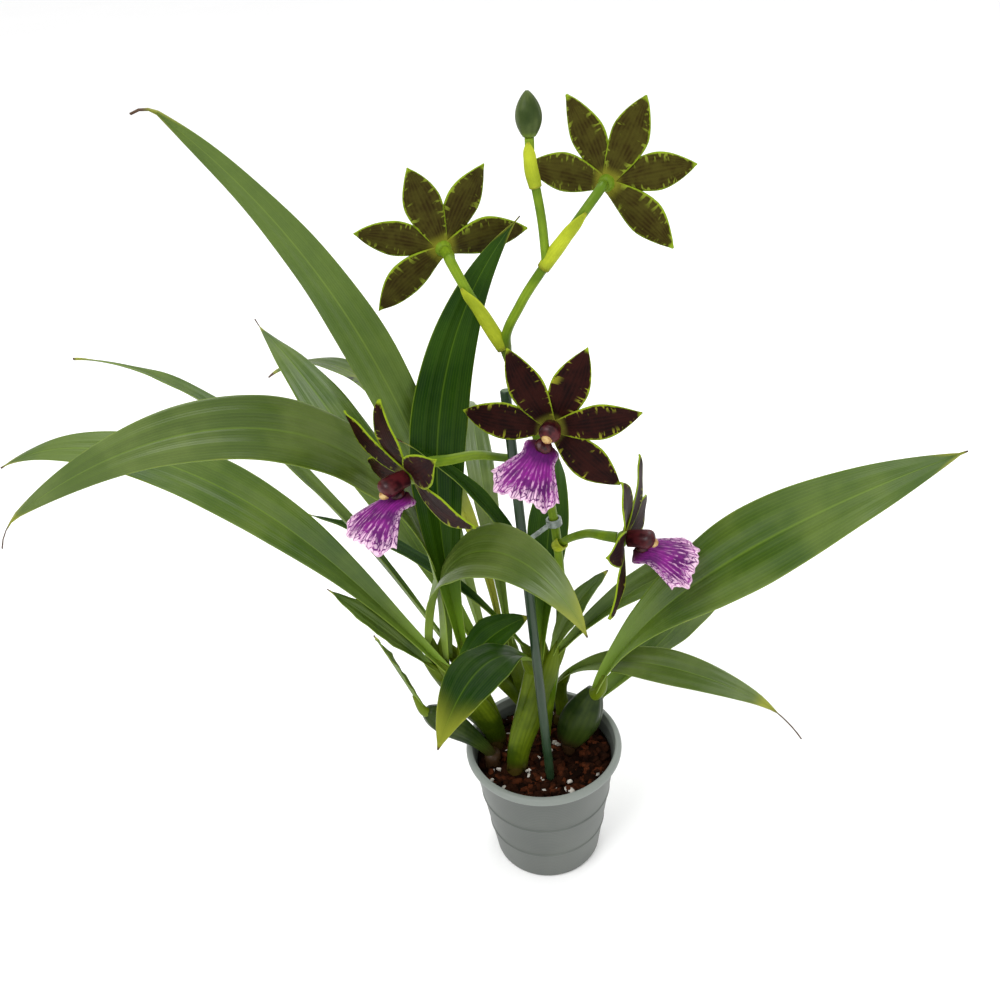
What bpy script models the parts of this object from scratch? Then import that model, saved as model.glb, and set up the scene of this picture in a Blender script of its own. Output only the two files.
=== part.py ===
# Zygopetalum orchid in a plain nursery pot.
# Units are metres, +Z is up, and the pot stands on z = 0 with its centre line on the Z axis.
# The viewer stands on the -Y side, with +X on the right.

import math
import random
from collections import namedtuple

import bmesh
import bpy
import numpy as np
from mathutils import Matrix, Vector

MM = 0.001
GAP = 0.3 * MM

# Pot
POT_HEIGHT = 81 * MM
POT_RIM_RADIUS = 45 * MM
POT_BASE_RADIUS = 31 * MM
POT_WALL = 1.3 * MM
POT_FLOOR = 2.0 * MM
POT_RIM_BEAD = 2.6 * MM
POT_RING_HEIGHTS = (22 * MM, 47 * MM)
POT_RING_DEPTH = 0.5 * MM
POT_SIDES = 32
DRAIN_HOLE_RADIUS = 3.0 * MM
DRAIN_HOLE_CIRCLE = 18 * MM
DRAIN_HOLES = 4

# Growing medium
SOIL_TOP = 71 * MM
SOIL_ROUGHNESS = 1.6 * MM
SOIL_SIDES = 20
HOLE_DEPTH = 9 * MM
CHIP_COUNT = 14
CHIP_SIZE = (9 * MM, 5 * MM, 3 * MM)

# Support stake and its clip
STAKE_RADIUS = 2.5 * MM
STAKE_FOOT = Vector((2.5, -18, 64)) * MM
STAKE_TOP = Vector((-9.5, -1, 310)) * MM
CLIP_HEIGHT = 4 * MM
CLIP_WALL = 1.2 * MM
CLIP_SHARE = 0.66

# Leaves
BLADE_THICKNESS = 0.8 * MM
BLADE_STEP = 36 * MM
BLADE_STEPS_LEAST = 5
BLADE_WIDEST = 0.58
TIP_HALF_WIDTH = 0.8 * MM
BASE_FOLD = 62
OPEN_SHARE = 0.45
EDGE_DROOP = 0.12
SHEATH_FLATNESS = 0.72
SHEATH_OVERLAP = 9 * MM
SHEATH_SIDES = 6

# Blooms
TEPAL_LENGTH = 40.5 * MM
TEPAL_WIDTH = 16.5 * MM
TEPAL_THICKNESS = 0.9 * MM
PETAL_ANGLE = 53
TEPAL_ANGLES = (0, PETAL_ANGLE, -PETAL_ANGLE, 105, -109)
RECEPTACLE_RADIUS = 4.6 * MM
LIP_LENGTH = 35 * MM
LIP_HALF_ANGLE = 33
LIP_THICKNESS = 0.9 * MM
LIP_BEND = 14
LIP_DROP = 4.2 * MM
RECEPTACLE_DEPTH = 3 * MM
COLUMN_LENGTH = 12 * MM
COLUMN_FOOT = 2.2 * MM
COLUMN_RADIUS = 4.3 * MM

Leaf = namedtuple("Leaf", "name root azimuth length width rise arch bend sway roll twist fold neck wave")
Bloom = namedtuple("Bloom", "name centre facing dorsal droop")
Growth = namedtuple("Growth", "name foot leaves sheath")
Bulb = namedtuple("Bulb", "name foot apex radius belly lean leaf")


def leaf(name, root, azimuth, length, width, rise, arch, bend, sway=0, roll=0, twist=0,
         fold=22, neck=0.3, wave=1.0):
    """Describe one leaf. Lengths are in mm and angles in degrees.

    The blade leaves its root at the given rise above level and bends down by arch
    before its tip, late in its length where bend is high. Sway turns it sideways.
    """
    return Leaf(name, Vector(root) * MM, azimuth, length * MM, width * MM, rise, arch, bend,
                sway, roll, twist, fold, neck, wave * MM)


# Each growth is one leafy shoot: its foot in the bark and the leaves that sheathe it.
GROWTHS = (
    Growth("growth_left", Vector((-28, 12, 71)) * MM, (
        leaf("arching_left", (-55, 13, 138), 224, 335, 33, 99, 124, 1.2, -4, roll=-62, twist=20, fold=10),
        leaf("low_left", (-50, 5, 133), 174, 287, 29, 56, 88, 2.4, -4, roll=-40, fold=16),
        leaf("edge_left", (-47, 18, 134), 159, 288, 17, 58, 68, 2.0, -6, roll=16, fold=34),
        leaf("tall_centre", (-42, 14, 139), 46, 256, 29, 96, 58, 2.2, -20, roll=62, fold=14),
        leaf("front_fold", (-59, 13, 140), -40, 187, 31, 85, 140, 1.65, -12, roll=34, fold=10),
        leaf("under_dark", (-46, 1, 132), 0, 60, 24, 64, 44, 1.3, roll=30, fold=20),
        leaf("left_short", (-56, 8, 130), 191, 90, 15, 57, 6, 1.3, roll=-30, fold=26),
    ), (5.8, 4.4)),
    Growth("growth_back", Vector((-6, 28, 71)) * MM, (
        leaf("tall_left", (-29, 36, 119), 209, 368, 25, 81, 36, 2.0, 6, roll=58, fold=16),
        leaf("up_left", (-32, 32, 119), 133, 270, 33, 49, 43, 1.8, -10, fold=14),
        leaf("spotted_back", (-20, 38, 124), 114, 300, 19, 78, 116, 1.1, 27, fold=20),
        leaf("small_upright", (-15, 31, 124), 102, 212, 18, 64, 94, 1.3, -13, fold=22),
    ), (5.2, 4.0)),
    Growth("growth_front", Vector((-17, -9, 71)) * MM, (
        leaf("back_tip_left", (-4, 2, 139), 176, 168, 12, 96, 66, 1.3, roll=-30, fold=36),
        leaf("low_tip_left", (-3, 3, 140), 154, 172, 12, 57, 66, 0.8, -10, fold=36),
        leaf("front_hang", (-5, 0, 139), -124, 124, 27, 57, 79, 1.15, 15, roll=-14, fold=8),
        leaf("right_long", (6, 3, 137), 7, 161, 23, 52, 86, 1.3, 9, roll=24, fold=34),
        leaf("right_short", (6, 1, 139), 24, 64, 14, 73, 45, 1.3, roll=20, fold=26),
        leaf("centre_back", (1, 4, 140), 75, 128, 25, 69, 70, 1.4, 5, fold=26),
    ), (6.2, 4.8)),
    Growth("growth_right", Vector((13, 27, 71)) * MM, (
        leaf("right_low", (14, 32, 97), -41, 168, 20, 63, 80, 0.7, 5, roll=46, fold=18),
        leaf("right_back", (28, 20, 82), 18, 156, 27, 40, 36, 0.8, 40, fold=18, neck=0.5),
    ), (4.4, 3.4)),
)

# Two ridged storage stems, each with the one leaf that grows from its apex.
BULBS = (
    Bulb("pseudobulb_right", Vector((15, 3, 76)) * MM, Vector((31, 10, 109)) * MM, 11.5 * MM, 1.0, 1.0,
         leaf("right_big", (34, 5, 114), -30, 248, 40, 78, 49, 0.6, 16, roll=54, fold=12, neck=0.26)),
    Bulb("pseudobulb_left", Vector((-30, -4, 75)) * MM, Vector((-64, -8, 119)) * MM, 8.5 * MM, 2.2, 0.75,
         leaf("thin_low_left", (-66, -9, 121), 193, 62, 8, 72, 2, 1.3, fold=30, neck=0.5)),
)
BULB_SIDES = 12
PLUG_RADIUS = 6.4 * MM
PLUG_RISE = 8 * MM
BULB_PLUG_RADIUS = 4.6 * MM

# The flower spike, foot to top, and the stalk of each flower from the spike to its back.
SPIKE_PATH = ((2, 15, 64), (4, 16, 84), (9, 16, 120), (14, 17, 168), (13, 14, 209), (10, 15, 238),
              (6, 15, 267), (1, 13, 297), (-8, 10, 327), (0, 8, 348), (13, 6, 368), (20, 4, 378),
              (30, 4, 391), (37, 9, 398))
SPIKE_RADIUS = 2.4 * MM
STALK_RADIUS = 2.0 * MM

BLOOMS = (
    Bloom("bloom_upper_left", (-33.5, 32, 368), (-0.30, 0.94, 0.12), (-0.33, 0.00, 0.94), 4),
    Bloom("bloom_top", (42, 31, 393), (0.46, 0.88, -0.06), (0.50, 0.12, 0.84), 4),
    Bloom("bloom_left", (-54, -45, 294), (-0.76, -0.60, -0.24), (-0.24, -0.12, 0.96), -2),
    Bloom("bloom_centre", (10, -23, 301), (-0.22, -0.97, 0.13), (0.43, 0.10, 0.90), 26),
    Bloom("bloom_right", (43, -23, 237), (0.93, -0.36, 0.00), (0.10, -0.34, 0.93), 0),
)
STALKS = {
    "bloom_upper_left": ((-8, 10, 324), (-16, 10, 340), (-24, 10, 356), (-30, 14, 368)),
    "bloom_left": ((6, 15, 262), (-12, 2, 272), (-25, -14, 284), (-37, -30, 292)),
    "bloom_centre": ((2, 13, 288), (7, 8, 292), (10, 0, 293)),
    "bloom_right": ((13, 14, 209), (19, 2, 222), (27, -8, 231)),
}
BUD_STALK = ((12, 6, 366), (11, 7, 384), (9, 7, 399), (7, 7, 410), (7, 8, 421))
BUD_LENGTH = 18 * MM
BUD_RADIUS = 5.4 * MM

BRACT_THICKNESS = 0.8 * MM
BRACT_WRAP = 75

# Bracts clasp the spike: start point, direction, length and width in mm.
BRACTS = (
    ((-9, 9.5, 325), (-0.50, 0.05, 0.86), 32, 8),
    ((11, 6, 365), (0.66, -0.10, 0.75), 28, 7.5),
    ((8.4, 7, 400), (-0.16, 0.04, 0.98), 18, 6.5),
    ((5, 14.5, 262), (-0.85, -0.40, 0.30), 15, 8),
    ((12, 15, 206), (0.50, -0.66, 0.55), 11, 8),
)


def clear_scene():
    for item in list(bpy.data.objects):
        bpy.data.objects.remove(item, do_unlink=True)


def principled(name, colour, roughness, metallic=0.0):
    material = bpy.data.materials.new(name)
    material.use_nodes = True
    shader = material.node_tree.nodes["Principled BSDF"]
    shader.inputs["Base Color"].default_value = (*colour, 1.0)
    shader.inputs["Roughness"].default_value = roughness
    shader.inputs["Metallic"].default_value = metallic
    return material


def mesh_object(name, points, faces, material=None, smooth=True):
    mesh = bpy.data.meshes.new(name)
    mesh.from_pydata([tuple(point) for point in points], [], faces)
    mesh.update()
    if smooth:
        mesh.shade_smooth()
    thing = bpy.data.objects.new(name, mesh)
    if material:
        mesh.materials.append(material)
    bpy.context.scene.collection.objects.link(thing)
    return thing


def ring_faces(rings, sides, closed_ends=True):
    """Triangles between rings of points laid one after another, with fans over both ends."""
    faces = []
    for ring in range(rings - 1):
        low = ring * sides
        high = low + sides
        for side in range(sides):
            following = (side + 1) % sides
            faces.append((low + side, low + following, high + following))
            faces.append((low + side, high + following, high + side))
    if closed_ends:
        faces.append(tuple(reversed(range(sides))))
        faces.append(tuple(range((rings - 1) * sides, rings * sides)))
    return faces


def smooth_path(points, steps):
    """Points along a Catmull-Rom curve through the given points."""
    anchors = [Vector(point) for point in points]
    anchors = [2 * anchors[0] - anchors[1], *anchors, 2 * anchors[-1] - anchors[-2]]
    path = []
    for index in range(1, len(anchors) - 2):
        before, start, end, after = anchors[index - 1:index + 3]
        for step in range(steps):
            t = step / steps
            path.append(0.5 * (2 * start + (end - before) * t
                               + (2 * before - 5 * start + 4 * end - after) * t * t
                               + (3 * start - before - 3 * end + after) * t ** 3))
    path.append(anchors[-2])
    return path


def tube(name, path, radii, sides=8, flatness=1.0, material=None):
    """A closed tube along a path, with one radius for each point of the path."""
    points = []
    side = Vector((1, 0, 0))
    last = len(path) - 1
    for index, centre in enumerate(path):
        along = (path[min(index + 1, last)] - path[max(index - 1, 0)]).normalized()
        side = (side - along * side.dot(along)).normalized()
        other = along.cross(side)
        for corner in range(sides):
            angle = 2 * math.pi * corner / sides
            points.append(centre + radii[index] * (math.cos(angle) * side
                                                   + flatness * math.sin(angle) * other))
    return mesh_object(name, points, ring_faces(len(path), sides), material)


def lathe(name, profile, sides, material=None):
    """Spin an open profile of (radius, height) pairs whose two ends lie on the Z axis."""
    points = [Vector((0, 0, profile[0][1]))]
    for radius, height in profile[1:-1]:
        for side in range(sides):
            angle = 2 * math.pi * side / sides
            points.append(Vector((radius * math.cos(angle), radius * math.sin(angle), height)))
    points.append(Vector((0, 0, profile[-1][1])))
    rings = len(profile) - 2
    faces = [tuple(index + 1 for index in face) for face in ring_faces(rings, sides, False)]
    top = len(points) - 1
    for side in range(sides):
        following = (side + 1) % sides
        faces.append((0, 1 + following, 1 + side))
        faces.append((top, top - sides + side, top - sides + following))
    return mesh_object(name, points, faces, material)


def sheet(name, grid, normals, thickness, material=None):
    """A thin closed solid around a grid of points, with like triangles on both faces."""
    grid = np.asarray(grid)
    normals = np.asarray(normals)
    rows, columns, _ = grid.shape
    offset = normals * thickness / 2
    points = np.concatenate([(grid + offset).reshape(-1, 3), (grid - offset).reshape(-1, 3)])
    under = rows * columns
    faces = []
    for row in range(rows - 1):
        for column in range(columns - 1):
            a = row * columns + column
            b = a + 1
            c = a + columns + 1
            d = a + columns
            leans_left = column < (columns - 1) / 2
            halves = ((a, b, c), (a, c, d)) if leans_left else ((a, b, d), (b, c, d))
            for first, second, third in halves:
                faces.append((first, second, third))
                faces.append((under + third, under + second, under + first))
    border = [column for column in range(columns)]
    border += [row * columns + columns - 1 for row in range(1, rows)]
    border += [(rows - 1) * columns + column for column in range(columns - 2, -1, -1)]
    border += [row * columns for row in range(rows - 2, 0, -1)]
    for index, start in enumerate(border):
        end = border[(index + 1) % len(border)]
        faces.append((end, start, under + start))
        faces.append((end, under + start, under + end))
    return mesh_object(name, points, faces, material)


def keep_largest_body(mesh):
    """Fill hollows that fusing has sealed and drop loose scraps."""
    shape = bmesh.new()
    shape.from_mesh(mesh)
    bodies = []
    unseen = set(shape.verts)
    while unseen:
        body = [unseen.pop()]
        for vertex in body:
            for edge in vertex.link_edges:
                neighbour = edge.other_vert(vertex)
                if neighbour in unseen:
                    unseen.remove(neighbour)
                    body.append(neighbour)
        bodies.append(body)
    bodies.sort(key=len, reverse=True)
    for body in bodies[1:]:
        bmesh.ops.delete(shape, geom=body, context="VERTS")
    shape.to_mesh(mesh)
    shape.free()


def join_by_boolean(name, pieces, material, operation="UNION", solver="EXACT"):
    """Apply one Boolean between the first piece and all the others, then remove them."""
    base = pieces[0]
    tools = bpy.data.collections.new(name + "_tools")
    for piece in pieces[1:]:
        tools.objects.link(piece)
    boolean = base.modifiers.new("join", "BOOLEAN")
    boolean.operation = operation
    boolean.solver = solver
    boolean.operand_type = "COLLECTION"
    boolean.collection = tools
    bpy.context.view_layer.update()
    evaluated = base.evaluated_get(bpy.context.evaluated_depsgraph_get())
    mesh = bpy.data.meshes.new_from_object(evaluated)
    mesh.name = name
    keep_largest_body(mesh)
    mesh.materials.clear()
    mesh.materials.append(material)
    mesh.shade_smooth()
    for piece in pieces:
        bpy.data.objects.remove(piece, do_unlink=True)
    bpy.data.collections.remove(tools)
    joined = bpy.data.objects.new(name, mesh)
    bpy.context.scene.collection.objects.link(joined)
    return joined


def build_pot(material):
    def outer_radius(height):
        return POT_BASE_RADIUS + (POT_RIM_RADIUS - POT_RIM_BEAD - POT_BASE_RADIUS) * height / POT_HEIGHT

    profile = [(0, 0), (POT_BASE_RADIUS - 1.5 * MM, 0), (outer_radius(1.5 * MM), 1.5 * MM)]
    for height in POT_RING_HEIGHTS:
        profile.append((outer_radius(height), height))
        profile.append((outer_radius(height) + POT_RING_DEPTH, height + 0.8 * MM))
    under_bead = POT_HEIGHT - 2 * POT_RIM_BEAD
    profile.append((outer_radius(under_bead) + POT_RING_DEPTH, under_bead))
    for degrees in (-60, -20, 20, 60, 100):
        angle = math.radians(degrees)
        profile.append((POT_RIM_RADIUS - POT_RIM_BEAD + POT_RIM_BEAD * math.cos(angle),
                        POT_HEIGHT - POT_RIM_BEAD + POT_RIM_BEAD * math.sin(angle)))
    inner_top = POT_HEIGHT - 1.5 * MM
    profile.append((outer_radius(inner_top) - POT_WALL, inner_top))
    profile.append((outer_radius(POT_FLOOR) - POT_WALL, POT_FLOOR))
    profile.append((0, POT_FLOOR))
    shell = lathe("pot", profile, POT_SIDES)
    pieces = [shell]
    for hole in range(DRAIN_HOLES):
        angle = 2 * math.pi * (hole + 0.5) / DRAIN_HOLES
        x = DRAIN_HOLE_CIRCLE * math.cos(angle)
        y = DRAIN_HOLE_CIRCLE * math.sin(angle)
        path = [Vector((x, y, -POT_FLOOR)), Vector((x, y, 2 * POT_FLOOR))]
        pieces.append(tube("drain", path, [DRAIN_HOLE_RADIUS] * 2, 12))
    return join_by_boolean("pot", pieces, material, "DIFFERENCE")


def soil_radius(height):
    slope = (POT_RIM_RADIUS - POT_RIM_BEAD - POT_BASE_RADIUS) / POT_HEIGHT
    return POT_BASE_RADIUS + slope * height - POT_WALL - 2 * GAP


def build_medium(material, rods):
    """The potting bark: a filled pot's worth with a rough top, loose chips and stem holes."""
    draw = random.Random(7)
    bottom = POT_FLOOR + GAP
    profile = [(0, bottom), (soil_radius(bottom), bottom)]
    for share in (1.0, 0.8, 0.58, 0.3):
        profile.append((soil_radius(SOIL_TOP) * share, SOIL_TOP))
    profile.append((0, SOIL_TOP))
    body = lathe("growing_medium", profile, SOIL_SIDES)
    inner = soil_radius(SOIL_TOP) * 0.95
    for vertex in body.data.vertices:
        if vertex.co.z > SOIL_TOP - MM and vertex.co.xy.length < inner:
            vertex.co.z += draw.uniform(-SOIL_ROUGHNESS, SOIL_ROUGHNESS)
    chips = []
    while len(chips) < CHIP_COUNT:
        reach = soil_radius(SOIL_TOP) * 0.86 * math.sqrt(draw.random())
        angle = draw.uniform(0, 2 * math.pi)
        place = Vector((reach * math.cos(angle), reach * math.sin(angle), SOIL_TOP))
        if min((place.xy - low.xy).length - radius for low, _, radius in rods) < 6 * MM:
            continue
        chip = box("chip", [size * draw.uniform(0.6, 1.2) for size in CHIP_SIZE])
        turn = Matrix.Rotation(draw.uniform(0, math.pi), 4, "Z")
        tilt = Matrix.Rotation(draw.uniform(-0.5, 0.5), 4, "X")
        lift = Matrix.Rotation(draw.uniform(-0.4, 0.4), 4, "Y")
        chip.matrix_world = Matrix.Translation(place) @ turn @ tilt @ lift
        chips.append(chip)
    heap = join_by_boolean("growing_medium", [body, *chips], material)
    holes = []
    for low, high, radius in rods:
        along = (high - low).normalized()
        ends = [low - along * GAP, high + along * HOLE_DEPTH]
        holes.append(tube("hole", ends, [radius + 2 * GAP] * 2, 12))
    return join_by_boolean("growing_medium", [heap, *holes], material, "DIFFERENCE")


def box(name, size):
    half = [value / 2 for value in size]
    points = [(x * half[0], y * half[1], z * half[2])
              for z in (-1, 1) for y in (-1, 1) for x in (-1, 1)]
    faces = [(0, 2, 3, 1), (4, 5, 7, 6), (0, 1, 5, 4), (2, 6, 7, 3), (0, 4, 6, 2), (1, 3, 7, 5)]
    return mesh_object(name, points, faces)


def blade_width(share, neck):
    """Width of a leaf at a share of its length, as a share of its greatest width."""
    if share < BLADE_WIDEST:
        rise = math.sin(math.pi / 2 * share / BLADE_WIDEST) ** 2.2
        return neck + (1 - neck) * rise
    run = (share - BLADE_WIDEST) / (1 - BLADE_WIDEST)
    return max(1 - run ** 1.6, 0.0) ** 0.95


def blade_frames(leaf):
    """Centre, direction, sideways and upward vectors along a leaf's midrib."""
    steps = max(BLADE_STEPS_LEAST, round(leaf.length / BLADE_STEP))
    frames = []
    centre = leaf.root.copy()
    for step in range(steps + 1):
        share = step / steps
        azimuth = math.radians(leaf.azimuth + leaf.sway * share)
        climb = math.radians(leaf.rise - leaf.arch * share ** leaf.bend)
        along = Vector((math.cos(climb) * math.cos(azimuth), math.cos(climb) * math.sin(azimuth),
                        math.sin(climb)))
        side = Vector((math.sin(azimuth), -math.cos(azimuth), 0))
        turn = Matrix.Rotation(math.radians(leaf.roll + leaf.twist * share), 3, along)
        side = turn @ side
        upward = side.cross(along)
        frames.append((share, centre.copy(), along, side, upward))
        half = (step + 0.5) / steps
        azimuth = math.radians(leaf.azimuth + leaf.sway * half)
        climb = math.radians(leaf.rise - leaf.arch * half ** leaf.bend)
        centre += Vector((math.cos(climb) * math.cos(azimuth), math.cos(climb) * math.sin(azimuth),
                          math.sin(climb))) * leaf.length / steps
    return frames


def build_blade(leaf):
    """A leaf folded at its base, opening along its length, with waved edges and a drawn tip."""
    grid = []
    normals = []
    for share, centre, along, side, upward in blade_frames(leaf):
        opening = min(share / OPEN_SHARE, 1.0)
        fold = math.radians(BASE_FOLD + (leaf.fold - BASE_FOLD) * opening ** 0.8)
        fold *= min(1.0, 0.2 + 4 * (1 - share))
        half = max(leaf.width * blade_width(share, leaf.neck) / 2, TIP_HALF_WIDTH)
        row = []
        row_normals = []
        for across in (-1, -0.5, 0, 0.5, 1):
            reach = abs(across) * half
            droop = EDGE_DROOP * half * across * across * opening
            ripple = leaf.wave * math.sin(17 * share + 2 * across) * max(share - 0.15, 0) * across ** 2
            height = reach * math.sin(fold) - droop + ripple
            row.append(centre + side * math.copysign(reach * math.cos(fold), across) + upward * height)
            lean = math.copysign(math.sin(fold), across) if across else 0
            row_normals.append((upward * math.cos(fold) - side * lean).normalized())
        grid.append(row)
        normals.append(row_normals)
    return sheet(leaf.name, grid, normals, BLADE_THICKNESS)


def build_sheath(leaf, foot, radii):
    """The leaf's clasping base, from the shoot's foot up to where the blade opens."""
    _, root, along, _, _ = blade_frames(leaf)[0]
    reach = (root - foot).length
    path = []
    steps = 4
    for step in range(steps + 1):
        t = step / steps
        pull = Vector((0, 0, 1)) * reach
        ease = along * reach
        path.append((2 * t ** 3 - 3 * t * t + 1) * foot + (t ** 3 - 2 * t * t + t) * pull
                    + (3 * t * t - 2 * t ** 3) * root + (t ** 3 - t * t) * ease)
    path.append(root + along * SHEATH_OVERLAP)
    start, end = (value * MM for value in radii)
    spread = [start + (end - start) * step / steps for step in range(steps + 1)]
    spread.append(end * 0.45)
    return tube(leaf.name + "_sheath", path, spread, SHEATH_SIDES, SHEATH_FLATNESS)


def plug_ends(foot):
    low = Vector((foot[0], foot[1], SOIL_TOP - HOLE_DEPTH))
    high = Vector((foot[0], foot[1], SOIL_TOP + PLUG_RISE))
    return low, high


def foot_plug(foot, radius):
    low, high = plug_ends(foot)
    return tube("plug", [low, high], [radius] * 2, 12)


def build_growth(growth, material):
    pieces = [foot_plug(growth.foot, PLUG_RADIUS)]
    for entry in growth.leaves:
        pieces.append(build_sheath(entry, growth.foot, growth.sheath))
        pieces.append(build_blade(entry))
    return join_by_boolean(growth.name, pieces, material)


def build_pseudobulb(bulb, material):
    """A ridged, egg-shaped storage stem that leans from its foot, with a leaf at its apex.

    A belly above 1 moves its fullest girth up, and a lean below 1 starts it upright.
    """
    rings = 8
    span = bulb.apex - bulb.foot
    along = span.normalized()
    side = Vector((0, 1, 0)).cross(along).normalized()
    other = along.cross(side)
    points = []
    for ring in range(rings):
        t = ring / (rings - 1)
        swell = 0.34 + 0.66 * math.sin(math.pi * (0.12 + 0.86 * t) ** bulb.belly) ** 0.9
        centre = bulb.foot + Vector((span.x * t, span.y * t, span.z * t ** bulb.lean))
        for corner in range(BULB_SIDES):
            ridge = 1 + (0.05 if corner % 2 else -0.05)
            angle = 2 * math.pi * corner / BULB_SIDES
            points.append(centre + bulb.radius * swell * ridge * (math.cos(angle) * side
                                                                  + 0.8 * math.sin(angle) * other))
    body = mesh_object(bulb.name, points, ring_faces(rings, BULB_SIDES))
    pieces = [body, foot_plug(bulb.foot, BULB_PLUG_RADIUS), build_blade(bulb.leaf)]
    _, root, direction, _, _ = blade_frames(bulb.leaf)[0]
    reach = [bulb.apex - along * 4 * MM, root, root + direction * 12 * MM]
    pieces.append(tube("petiole", reach, [bulb.radius * share for share in (0.36, 0.34, 0.12)], 8))
    return join_by_boolean(bulb.name, pieces, material)


def build_bract(start, direction, length, width):
    """A small boat-shaped leaf that clasps the spike where a flower stalk leaves it."""
    start = Vector(start) * MM
    along = Vector(direction).normalized()
    side = along.cross(Vector((0, 1, 0))).normalized()
    upward = side.cross(along)
    grid = []
    normals = []
    steps = 4
    for step in range(steps + 1):
        share = step / steps
        half = width * MM / 2 * max(math.sin(math.pi * (0.22 + 0.76 * share)) ** 0.8, 0.12)
        row = []
        row_normals = []
        for across in (-1, -0.5, 0, 0.5, 1):
            wrap = across * math.radians(BRACT_WRAP)
            row.append(start + along * length * MM * share + side * half * math.sin(wrap)
                       - upward * half * (math.cos(wrap) - 0.35))
            row_normals.append(side * math.sin(wrap) - upward * math.cos(wrap))
        grid.append(row)
        normals.append([-normal for normal in row_normals])
    return sheet("bract", grid, normals, BRACT_THICKNESS)


def build_spike(material):
    pieces = []
    path = [Vector(point) * MM for point in SPIKE_PATH]
    curve = list(path)
    ahead = bloom_frame(BLOOMS[1])
    curve.append(ahead @ Vector((0, 0, -RECEPTACLE_DEPTH - 5 * MM)))
    curve.append(ahead @ Vector((0, 0, -RECEPTACLE_DEPTH - 2 * GAP)))
    radii = [SPIKE_RADIUS + (STALK_RADIUS - SPIKE_RADIUS) * (index / len(curve)) ** 2
             for index in range(len(curve))]
    pieces.append(tube("spike", curve, radii, 6))
    for bloom in BLOOMS:
        if bloom.name in STALKS:
            points = [Vector(point) * MM for point in STALKS[bloom.name]]
            frame = bloom_frame(bloom)
            points.append(frame @ Vector((0, 0, -RECEPTACLE_DEPTH - 7 * MM)))
            points.append(frame @ Vector((0, 0, -RECEPTACLE_DEPTH - 2 * GAP)))
            stalk = smooth_path(points, 2)
            thick = [STALK_RADIUS * (0.9 + 0.4 * index / len(stalk)) for index in range(len(stalk))]
            pieces.append(tube("stalk", stalk, thick, 6))
    bud_stalk = smooth_path([Vector(point) * MM for point in BUD_STALK], 2)
    pieces.append(tube("bud_stalk", bud_stalk, [STALK_RADIUS] * len(bud_stalk), 6))
    for bract in BRACTS:
        pieces.append(build_bract(*bract))
    return join_by_boolean("flower_spike", pieces, material)


def build_bud(material):
    """The closed bud: an egg with the edges of its folded sepals as low ridges."""
    start = Vector(BUD_STALK[-1]) * MM
    along = (start - Vector(BUD_STALK[-2]) * MM).normalized()
    side = along.cross(Vector((0, 1, 0))).normalized()
    other = along.cross(side)
    sides = 12
    rings = 8
    points = []
    for ring in range(rings):
        t = ring / (rings - 1)
        swell = math.sin(math.pi * (0.12 + 0.78 * t)) ** 0.75
        for corner in range(sides):
            ridge = 1 + (0.06 if corner % 4 == 0 else 0)
            angle = 2 * math.pi * corner / sides
            points.append(start + along * (GAP + BUD_LENGTH * t) + BUD_RADIUS * swell * ridge
                          * (math.cos(angle) * side + math.sin(angle) * other))
    return mesh_object("bud", points, ring_faces(rings, sides), material)


def bloom_frame(bloom):
    """Place of a bloom: +Z is where its face looks and +Y is its dorsal side."""
    forward = Vector(bloom.facing).normalized()
    dorsal = Vector(bloom.dorsal)
    dorsal = (dorsal - forward * dorsal.dot(forward)).normalized()
    across = dorsal.cross(forward)
    turn = Matrix((across, dorsal, forward)).transposed().to_4x4()
    return Matrix.Translation(Vector(bloom.centre) * MM) @ turn


def tepal_width(share):
    if share < 0.52:
        return 0.38 + 0.62 * math.sin(math.pi / 2 * share / 0.52) ** 1.3
    return max(1 - ((share - 0.52) / 0.48) ** 1.7, 0)


def build_tepal(angle, length, width, curl, start):
    """One sepal or petal: hollowed a little, with its tip curled by curl degrees.

    The sepals start behind the petals, at a lower start height on the receptacle.
    """
    spin = Matrix.Rotation(math.radians(-angle), 3, "Z")
    grid = []
    normals = []
    steps = 5
    height = start
    reach = 1.5 * MM
    for step in range(steps + 1):
        share = step / steps
        tilt = math.radians(16 - curl * share)
        half = max(width / 2 * tepal_width(share), TIP_HALF_WIDTH)
        row = []
        row_normals = []
        for across in (-1, 0, 1):
            cup = 0.9 * MM * across * across * math.sin(math.pi * min(share + 0.15, 1))
            row.append(spin @ Vector((across * half, reach, height + cup)))
            row_normals.append(spin @ Vector((0, -math.sin(tilt), math.cos(tilt))))
        grid.append(row)
        normals.append(row_normals)
        reach += length / steps * math.cos(tilt)
        height += length / steps * math.sin(tilt)
    return sheet("tepal", grid, normals, TEPAL_THICKNESS)


def build_tepals(bloom, material):
    pieces = [tube("receptacle", [Vector((0, 0, -RECEPTACLE_DEPTH)), Vector((0, 0, -MM)),
                                  Vector((0, 0, 0.9 * MM))],
                   [0.45 * RECEPTACLE_RADIUS, RECEPTACLE_RADIUS, 0.8 * RECEPTACLE_RADIUS], 8)]
    for index, angle in enumerate(TEPAL_ANGLES):
        is_petal = abs(angle) == PETAL_ANGLE
        width = TEPAL_WIDTH * (1.0 if is_petal else 1.06)
        start = -0.25 * MM if is_petal else -0.95 * MM - 0.07 * MM * index
        pieces.append(build_tepal(angle + index, TEPAL_LENGTH, width, 22 if is_petal else 27, start))
    node = join_by_boolean(bloom.name + "_tepals", pieces, material)
    node.matrix_world = bloom_frame(bloom)
    return node


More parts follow.
